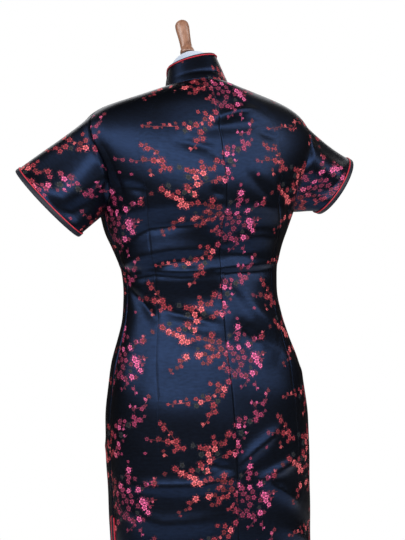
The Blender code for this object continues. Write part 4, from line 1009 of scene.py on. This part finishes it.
def set_in_sleeve(name):
    side = SLEEVES[name][0]
    ribs = sleeve_ribs(name, SLEEVE_AROUND)
    reach = np.linalg.norm(ribs[3] - ribs[0], axis=-1)
    last = 1 - (BINDING_WIDTH - 0.0010) / reach
    down = np.linspace(0, 1, SLEEVE_ROWS + 1)[:, None] * last[None]
    points = on_ribs(ribs, down)
    outward = grid_normals(points)
    if (outward * (points - points.mean(axis=1, keepdims=True))).sum() < 0:
        outward = -outward
    around = np.linspace(0, 1, SLEEVE_AROUND + 1)[None]
    rise = np.linspace(0, 1, SLEEVE_ROWS + 1)[:, None]
    lift = np.zeros(points.shape[:2])
    for start, mid, end, out, width in SLEEVE_CREASES[name]:
        course = np.interp(rise, (start[1], mid[1], end[1]), (start[0], mid[0], end[0]))
        away = (around - course) * SLEEVE_GIRTH
        fade = np.clip((rise - start[1] + 0.12) / 0.12, 0, 1) * np.clip((end[1] + 0.10 - rise) / 0.16, 0, 1)
        lift += out * np.exp(-((away / width) ** 2)) * ease(fade)
    lift *= ease(rise / 0.15) * ease((1.02 - rise) / 0.22)
    lift -= SEAM_SINK * np.exp(-((rise * 0.13 / 0.0025) ** 2))
    points = points + outward * (lift - WALL)[..., None]
    from_cuff = lengths(points, 0)[-1] - lengths(points, 0)
    flat = np.stack(np.broadcast_arrays(-around * 0.37 * side, from_cuff), axis=-1)
    order = slice(None, None, -1)
    points, flat = points[order], flat[order]
    if side < 0:
        points, flat = points[:, order], flat[:, order]
    piece = grid_piece(f"sleeve_{name}_cloth", points, flat + np.array(SLEEVE_REPEAT_SHIFT[name]), BROCADE,
                       wall=WALL, wall_side=0)
    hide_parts(f"sleeve_{name}")
    face_area(points)

    def cuff(depth, out):
        p = on_ribs(ribs, (1 - depth / reach)[None])[0]
        centre = ribs[3].mean(axis=0)
        radial = p - centre
        axis = unit(ribs[3].mean(axis=0) - ribs[0].mean(axis=0))
        radial = unit(radial - axis * (radial @ axis)[:, None])
        return p + radial * out

    rows = np.array([cuff(depth * BINDING_WIDTH, out) for depth, out in BINDING_SECTION])
    flat = np.stack((lengths(rows, 1), lengths(rows, 0)), axis=-1)
    binding = grid_piece(f"cuff_binding_{name}_strip", rows, flat, NAVY_SATIN, ring=True)
    face_out(binding)
    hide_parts(f"cuff_binding_{name}")
    girth = float(lengths(rows, 1)[:, -1].mean())
    face_area(rows) / girth
    cord(f"cuff_piping_{name}", cuff(BINDING_WIDTH, PIPING_RADIUS * 0.6)[:-1], PIPING_RADIUS,
         RED_SATIN, closed=True)


for name in SLEEVES:
    set_in_sleeve(name)

# The collar. A stiff standing band of brocade, rounded at its front corners, with a cord of navy satin on
# its edge and red piping just under it.
COLLAR_X, COLLAR_Y, COLLAR_RADIUS, COLLAR_SIDE = 0.0040, -0.007, 0.0416, 1.439
COLLAR_RISE, COLLAR_DROP, COLLAR_TILT = 0.010, 0.049, 0.008
COLLAR_WALL, COLLAR_HEIGHT = 0.0018, 0.045
COLLAR_GAP, COLLAR_CORNER = math.radians(2.5), 0.028
COLLAR_STEPS, COLLAR_ROWS = 150, 26
COLLAR_TUCK = 0.05  # the share of its height that lies inside the neck seam
COLLAR_REPEAT_SHIFT = (0.088, 0.124)


def collar_face(angle, share):
    angle, share = np.broadcast_arrays(np.asarray(angle, float), np.asarray(share, float))
    low = neck_ring(angle) + (0, 0, SEAM)
    c = np.cos(angle)
    rise = np.where(c > 0, COLLAR_RISE * c, -COLLAR_DROP * np.abs(c) ** 1.6) - COLLAR_TILT * np.sin(angle)
    high = np.stack((COLLAR_X + COLLAR_RADIUS * np.sin(angle), COLLAR_Y - STAND_BACK + COLLAR_RADIUS * c,
                     COLLAR_SIDE + rise), axis=-1)
    return mix(low, high, share[..., None])


def collar_outward(angle, share):
    step = 1e-3
    across = collar_face(angle + step, share) - collar_face(angle - step, share)
    return unit(np.cross(collar_face(angle, share + step) - collar_face(angle, share - step), across))


def on_collar(angle, share, out=0.0):
    return collar_face(angle, share) + collar_outward(angle, share) * out


def collar_top(angle):
    """The share of the collar's height at each angle, less towards its rounded front corners."""
    inside = np.clip((math.pi - COLLAR_GAP - np.abs(angle)) * COLLAR_RADIUS, 0, COLLAR_CORNER)
    drop = COLLAR_CORNER - np.sqrt(np.maximum(COLLAR_CORNER**2 - (COLLAR_CORNER - inside) ** 2, 0))
    return 1 - drop / COLLAR_HEIGHT


last = math.pi - COLLAR_GAP
angles = last * np.sin(np.linspace(-math.pi / 2, math.pi / 2, COLLAR_STEPS + 1))
heights = np.linspace(-COLLAR_TUCK, 1, COLLAR_ROWS + 1)[:, None]
points = on_collar(angles[None], collar_top(angles)[None] * heights, COLLAR_WALL / 2)
crush = 0.0016 * np.exp(-(((heights - 0.30) / 0.10) ** 2)) * np.exp(-((angles[None] / 0.75) ** 2))
points -= collar_outward(angles[None], collar_top(angles)[None] * heights) * crush[..., None]
flat = np.stack(np.broadcast_arrays(-(lengths(points, 1)[0] - lengths(points, 1)[0, COLLAR_STEPS // 2]),
                                    heights * COLLAR_HEIGHT), axis=-1)
collar = grid_piece("collar_band", points, flat + np.array(COLLAR_REPEAT_SHIFT), BROCADE,
                    wall=COLLAR_WALL * 0.9, wall_side=0)
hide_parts("collar")
face_area(points)
top = collar_top(angles)
edge, out = on_collar(angles, top), collar_outward(angles, top)
run = np.gradient(edge, axis=0)
up = unit(np.cross(run, out))
COLLAR_BINDING = 0.0013
cord("collar_binding", edge + up * (COLLAR_BINDING * 1.15) + out * COLLAR_WALL * 0.6, COLLAR_BINDING,
     NAVY_SATIN)
cord("collar_piping", edge - up * 0.0014 + out * (COLLAR_WALL + PIPING_RADIUS * 0.7), PIPING_RADIUS,
     RED_SATIN)

# The frogs. Three knot buttons of rolled satin cord, each with a loop round its neck and a hairpin of the
# same cord on the button's side, at the collar's foot and down the slanted opening.
FROG_CORD, FROG_STALK, FROG_TAIL = 0.0014, 0.0015, 0.0074
FROG_ENDS = (0.0270, 0.0045)
PIPING_TOP = 2 * PIPING_RADIUS + 0.0007
KNOT_SIZE = 0.0042


def knot_look():
    m, b, shader = new_material("rolled_cord_knot")
    place = b.add("ShaderNodeTexCoord").outputs["Object"]
    weave = b.add("ShaderNodeTexVoronoi", feature="DISTANCE_TO_EDGE")
    b.wire(place, weave.inputs["Vector"])
    weave.inputs["Scale"].default_value = 420.0
    ridge_and_groove_shade = b.add("ShaderNodeMapRange", weave.outputs["Distance"], 0.0, 0.35, 0.0, 1.0).outputs[0]
    # painted shade: the grooves between the cord's ridges are coloured darker; the same mask raises the
    # ridges
    b.wire(b.blend(ridge_and_groove_shade, (0.004, 0.006, 0.012, 1), (0.022, 0.030, 0.056, 1)), shader["Base Color"])
    shader["Roughness"].default_value = 0.42
    shader["Metallic"].default_value = 0.35
    b.wire(b.relief(ridge_and_groove_shade, 0.8, 0.0008), shader["Normal"])
    return m


KNOT_LOOK = knot_look()


def tie_frog(name, lay, lift, slack):
    """One frog, on a function that gives the point x across the opening, y along it and z off the cloth."""
    base = lay(0, 0, lift)
    outside = unit(lay(0, 0, lift + 0.01) - base)
    bpy.ops.object.select_all(action="DESELECT")
    bpy.ops.mesh.primitive_uv_sphere_add(segments=28, ring_count=18, radius=KNOT_SIZE)
    knot = bpy.context.object
    knot.name = f"{name}_button"
    turn = Vector(outside).to_track_quat("Z", "Y").to_matrix().to_4x4()
    bm = bmesh.new()
    bm.from_mesh(knot.data)
    for v in bm.verts:
        v.co.z = v.co.z * 0.78 + 0.0072
        ripple = 1 + 0.05 * math.cos(5 * math.atan2(v.co.y, v.co.x) + 900 * v.co.z)
        v.co.x *= ripple
        v.co.y *= ripple
    bmesh.ops.create_cone(bm, segments=16, radius1=FROG_STALK, radius2=FROG_STALK, depth=0.0042,
                          matrix=Matrix.Translation((0, 0, 0.0022)))
    bm.transform(Matrix.Translation(Vector(base)) @ turn)
    bm.to_mesh(knot.data)
    bm.free()
    knot.data.materials.append(KNOT_LOOK)
    knot.data.shade_smooth()
    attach(knot, "root")
    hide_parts(f"{name}_knot")
    for piece, way, middle, bend in (
        ("loop", 1, 0.0, FROG_STALK + FROG_CORD + slack),
        ("tail", -1, FROG_TAIL + slack, FROG_CORD + SEAM),
    ):
        far, near = FROG_ENDS
        legs = [(x, FROG_CORD + SEAM) for x in np.linspace(far, middle + near, 12)]
        turns = np.radians(np.linspace(50, 310, 22))
        bow = [(middle + bend * math.cos(t), bend * math.sin(t)) for t in turns]
        line = legs + bow + [(x, -y) for x, y in legs[::-1]]
        cord(f"{name}_{piece}", [lay(way * x, y, lift + FROG_CORD) for x, y in line], FROG_CORD,
             NAVY_SATIN, sides=12, taper=True)


def lay_on_dress(share):
    """The function that gives a point x and y metres from a place on the opening, and z out of the cloth."""
    place, ahead = (beside_opening(share + on, OPENING_BINDING / 2) for on in (0, 0.02))
    spot = figure_face(*place)
    along = unit(figure_face(*ahead) - spot)
    across = np.cross(figure_outward(*place), along)
    step = 1e-3
    turned_on, climbed = figure_face(place[0] + step, place[1]), figure_face(place[0], place[1] + step)
    slopes = np.stack((turned_on - spot, climbed - spot), axis=-1) / step

    def lay(x, y, z):
        turn, climb = np.linalg.lstsq(slopes, across * x + along * y, rcond=None)[0]
        return worn(place[0] + turn, place[1] + climb, np.asarray(CLOTH + z))

    return lay


def lay_on_collar(x, y, z):
    angle, share = math.pi + x / NECK["front"], 0.20 + y / COLLAR_HEIGHT
    return on_collar(angle, share, np.asarray(COLLAR_WALL + z)[..., None])


for name, share, over in (("frog_chest", 0.62, 0.0), ("frog_underarm", 0.28, -0.0010)):
    tie_frog(name, lay_on_dress(share), PIPING_TOP + over, 2 * SEAM)
tie_frog("frog_collar", lay_on_collar, 2 * SEAM, SEAM)

# The dress form. A limbless torso padded and covered with white cotton jersey, smooth at the shoulders'
# stumps; the cover's gathers under the knob on the neck's cap are not modelled.
def jersey_look():
    m, b, shader = new_material("white_jersey")
    place = b.add("ShaderNodeTexCoord").outputs["Object"]
    ribs = b.add("ShaderNodeTexWave", bands_direction="X")
    b.wire(place, ribs.inputs["Vector"])
    ribs.inputs["Scale"].default_value = 420.0
    ribs.inputs["Distortion"].default_value = 2.5
    ribs.inputs["Detail"].default_value = 1.0
    soil = b.noise(place, 9.0, 3.0)
    tone = b.add("ShaderNodeMapRange", soil, 0.3, 0.7, 0.0, 1.0).outputs[0]
    b.wire(b.blend(tone, (0.30, 0.35, 0.44, 1), (0.34, 0.39, 0.48, 1)), shader["Base Color"])
    b.wire(b.add("ShaderNodeMapRange", tone, 0.0, 1.0, 0.84, 0.92).outputs[0], shader["Roughness"])
    shader["Sheen Weight"].default_value = 0.25
    b.wire(b.relief(ribs.outputs["Fac"], 0.25, 0.0003), shader["Normal"])
    return m


def smooth_copy(node, name, look, levels):
    """A node's own shape with its triangles joined and rounded."""
    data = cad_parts[node].data.copy()
    piece = bpy.data.objects.new(name, data)
    bpy.context.scene.collection.objects.link(piece)
    bm = bmesh.new()
    bm.from_mesh(data)
    bmesh.ops.remove_doubles(bm, verts=bm.verts, dist=1e-5)
    bmesh.ops.dissolve_limit(bm, angle_limit=math.radians(0.5), verts=bm.verts, edges=bm.edges)
    bm.to_mesh(data)
    bm.free()
    if levels:
        rounding = piece.modifiers.new("rounding", "SUBSURF")
        rounding.levels = rounding.render_levels = levels
        finish(piece)
    piece.data.materials.clear()
    piece.data.materials.append(look)
    piece.data.shade_smooth()
    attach(piece, "root")
    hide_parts(node)
    return piece


WHITE_JERSEY = jersey_look()
torso = smooth_copy("form_body", "padded_torso", WHITE_JERSEY, 1)

# The knob. Turned hardwood, stained brown and varnished, screwed to the neck's cap and leaning with it.
CAP_Y, CAP_Z, CAP_LEAN = -0.034, 1.459, math.radians(25)


def wood_look():
    m, b, shader = new_material("brown_wood")
    place = b.add("ShaderNodeTexCoord").outputs["Object"]
    grain = b.add("ShaderNodeTexNoise")
    b.wire(b.vector("MULTIPLY", place, (1.0, 1.0, 0.10)), grain.inputs["Vector"])
    grain.inputs["Scale"].default_value = 260.0
    grain.inputs["Detail"].default_value = 5.0
    bands = b.noise(b.vector("MULTIPLY", place, (1.0, 1.0, 0.25)), 45.0, 3.0)
    figured = b.sum("MULTIPLY_ADD", grain.outputs[0], 0.55, b.sum("MULTIPLY", bands, 0.45))
    share = b.add("ShaderNodeMapRange", figured, 0.35, 0.65, 0.0, 1.0).outputs[0]
    stain = (0.0, (0.105, 0.042, 0.022)), (0.45, (0.190, 0.088, 0.052)), (1.0, (0.285, 0.150, 0.098))
    b.wire(b.ramp(share, *stain), shader["Base Color"])
    b.wire(b.add("ShaderNodeMapRange", share, 0.0, 1.0, 0.42, 0.30).outputs[0], shader["Roughness"])
    shader["Coat Weight"].default_value = 0.35
    shader["Coat Roughness"].default_value = 0.15
    b.wire(b.relief(grain.outputs[0], 0.12, 0.0004), shader["Normal"])
    return m


BROWN_WOOD = wood_look()


def turned(name, node, profile, look, steps=64):
    """A turned piece: a profile spun in steps round the upright axis."""
    bpy.ops.object.select_all(action="DESELECT")
    data = bpy.data.meshes.new(name)
    data.from_pydata([(r, 0, z) for r, z in profile], [(i, i + 1) for i in range(len(profile) - 1)], [])
    piece = bpy.data.objects.new(name, data)
    bpy.context.scene.collection.objects.link(piece)
    piece.select_set(True)
    bpy.context.view_layer.objects.active = piece
    bpy.ops.object.mode_set(mode="EDIT")
    bpy.ops.mesh.select_all(action="SELECT")
    bpy.ops.mesh.spin(steps=steps, angle=2 * math.pi, center=(0, 0, 0), axis=(0, 0, 1))
    bpy.ops.mesh.select_all(action="SELECT")
    bpy.ops.mesh.remove_doubles(threshold=1e-6)
    bpy.ops.mesh.normals_make_consistent(inside=False)
    bpy.ops.object.mode_set(mode="OBJECT")
    piece.data.materials.append(look)
    bpy.ops.object.shade_smooth_by_angle(angle=math.radians(40))
    piece.select_set(False)
    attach(piece, "root")
    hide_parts(node)
    return piece


def rounded(profile, cut=0.0008, steps=4):
    """A profile with its inner corners rounded off."""
    points = [Vector((r, 0, z)) for r, z in profile]
    out = [points[0]]
    for before, here, after in zip(points, points[1:], points[2:]):
        a, c = before - here, after - here
        reach = min(cut, a.length * 0.45, c.length * 0.45)
        start, end = here + a.normalized() * reach, here + c.normalized() * reach
        for i in range(steps + 1):
            t = i / steps
            out.append(start * (1 - t) ** 2 + here * (2 * t * (1 - t)) + end * t * t)
    out.append(points[-1])
    return [(p.x, p.z) for p in out]


KNOB = ((0, 0.069), (0.0085, 0.067), (0.0122, 0.062), (0.0128, 0.054), (0.0114, 0.039), (0.0104, 0.022),
        (0.0106, 0.011), (0.0128, 0.006), (0.0132, 0.0), (0, 0.0))
knob = turned("turned_knob", "knob", rounded(KNOB, cut=0.004, steps=6), BROWN_WOOD, steps=48)
lean = Vector((0, -math.sin(CAP_LEAN), math.cos(CAP_LEAN)))
knob.data.transform(Matrix.Translation(Vector((0, CAP_Y - STAND_BACK, CAP_Z)) + lean * SEAM)
                    @ Matrix.Rotation(CAP_LEAN, 4, "X"))

# The stand. A brushed steel pole on a round turned foot of the same stained wood.
FORM_BOTTOM, POLE_RADIUS, FOOT_RADIUS, FOOT_HEIGHT = 0.660, 0.016, 0.150, 0.034


def steel_look():
    m, b, shader = new_material("brushed_steel")
    place = b.add("ShaderNodeTexCoord").outputs["Object"]
    streaks = b.noise(b.vector("MULTIPLY", place, (1.0, 1.0, 0.02)), 900.0, 3.0)
    b.wire(b.ramp(streaks, (0.3, (0.36, 0.36, 0.37)), (0.7, (0.50, 0.50, 0.51))), shader["Base Color"])
    b.wire(b.add("ShaderNodeMapRange", streaks, 0.3, 0.7, 0.26, 0.40).outputs[0], shader["Roughness"])
    shader["Metallic"].default_value = 1.0
    return m


low, high = FOOT_HEIGHT + SEAM, FORM_BOTTOM - SEAM
turned("steel_pole", "pole", rounded(((0, high), (POLE_RADIUS, high), (POLE_RADIUS, low), (0, low)), 0.001),
       steel_look(), steps=48)
FOOT = ((0, FOOT_HEIGHT), (0.030, FOOT_HEIGHT), (0.040, 0.026), (0.110, 0.020), (0.142, 0.014),
        (FOOT_RADIUS, 0.008), (FOOT_RADIUS, 0.0), (0, 0.0))
turned("turned_foot", "foot", rounded(FOOT, 0.004), BROWN_WOOD, steps=96)

# The studio. A pale floor under a white surround, one wide soft light behind the camera that the satin
# mirrors where it tips upwards, and weaker ones to the sides and in front.
FLOOR_RADIUS = 2.3
bpy.ops.object.select_all(action="DESELECT")
bpy.ops.mesh.primitive_circle_add(vertices=96, radius=FLOOR_RADIUS, fill_type="NGON",
                                  location=(0, 0, -0.0005))
floor = bpy.context.object
floor.name = "floor"
paper, b, shader = new_material("pale_floor")
shader["Base Color"].default_value = (0.82, 0.82, 0.82, 1)
shader["Roughness"].default_value = 0.9
floor.data.materials.append(paper)

world = bpy.data.worlds.new("studio")
bpy.context.scene.world = world
world.use_nodes = True
b = NodeBench(world.node_tree)
sky = world.node_tree.nodes["Background"]
path = b.add("ShaderNodeLightPath").outputs
fill = b.blend(path["Is Glossy Ray"], (0.42, 0.42, 0.43, 1), (0.030, 0.022, 0.016, 1))
b.wire(b.blend(path["Is Camera Ray"], fill, (1.0, 1.0, 1.0, 1)), sky.inputs["Color"])


def soft_light(name, azimuth, elevation, distance, width, height, power):
    lamp = bpy.data.lights.new(name, "AREA")
    lamp.shape = "RECTANGLE"
    lamp.size, lamp.size_y, lamp.energy = width, height, power
    o = bpy.data.objects.new(name, lamp)
    a, e = math.radians(azimuth), math.radians(elevation)
    way = Vector((math.sin(a) * math.cos(e), -math.cos(a) * math.cos(e), math.sin(e)))
    o.location = Vector((0, 0, 1.05)) + way * distance
    o.rotation_euler = way.to_track_quat("Z", "Y").to_euler()
    bpy.context.scene.collection.objects.link(o)


soft_light("window_light", 160, 28.5, 3.2, 4.6, 1.55, 128)
soft_light("left_window", 92, 30, 3.2, 2.6, 1.8, 60)
soft_light("right_window", 228, 30, 3.2, 2.6, 1.8, 60)
soft_light("front_light", -20, 34, 3.2, 3.6, 1.7, 30)
bpy.context.scene.view_settings.view_transform = "Standard"
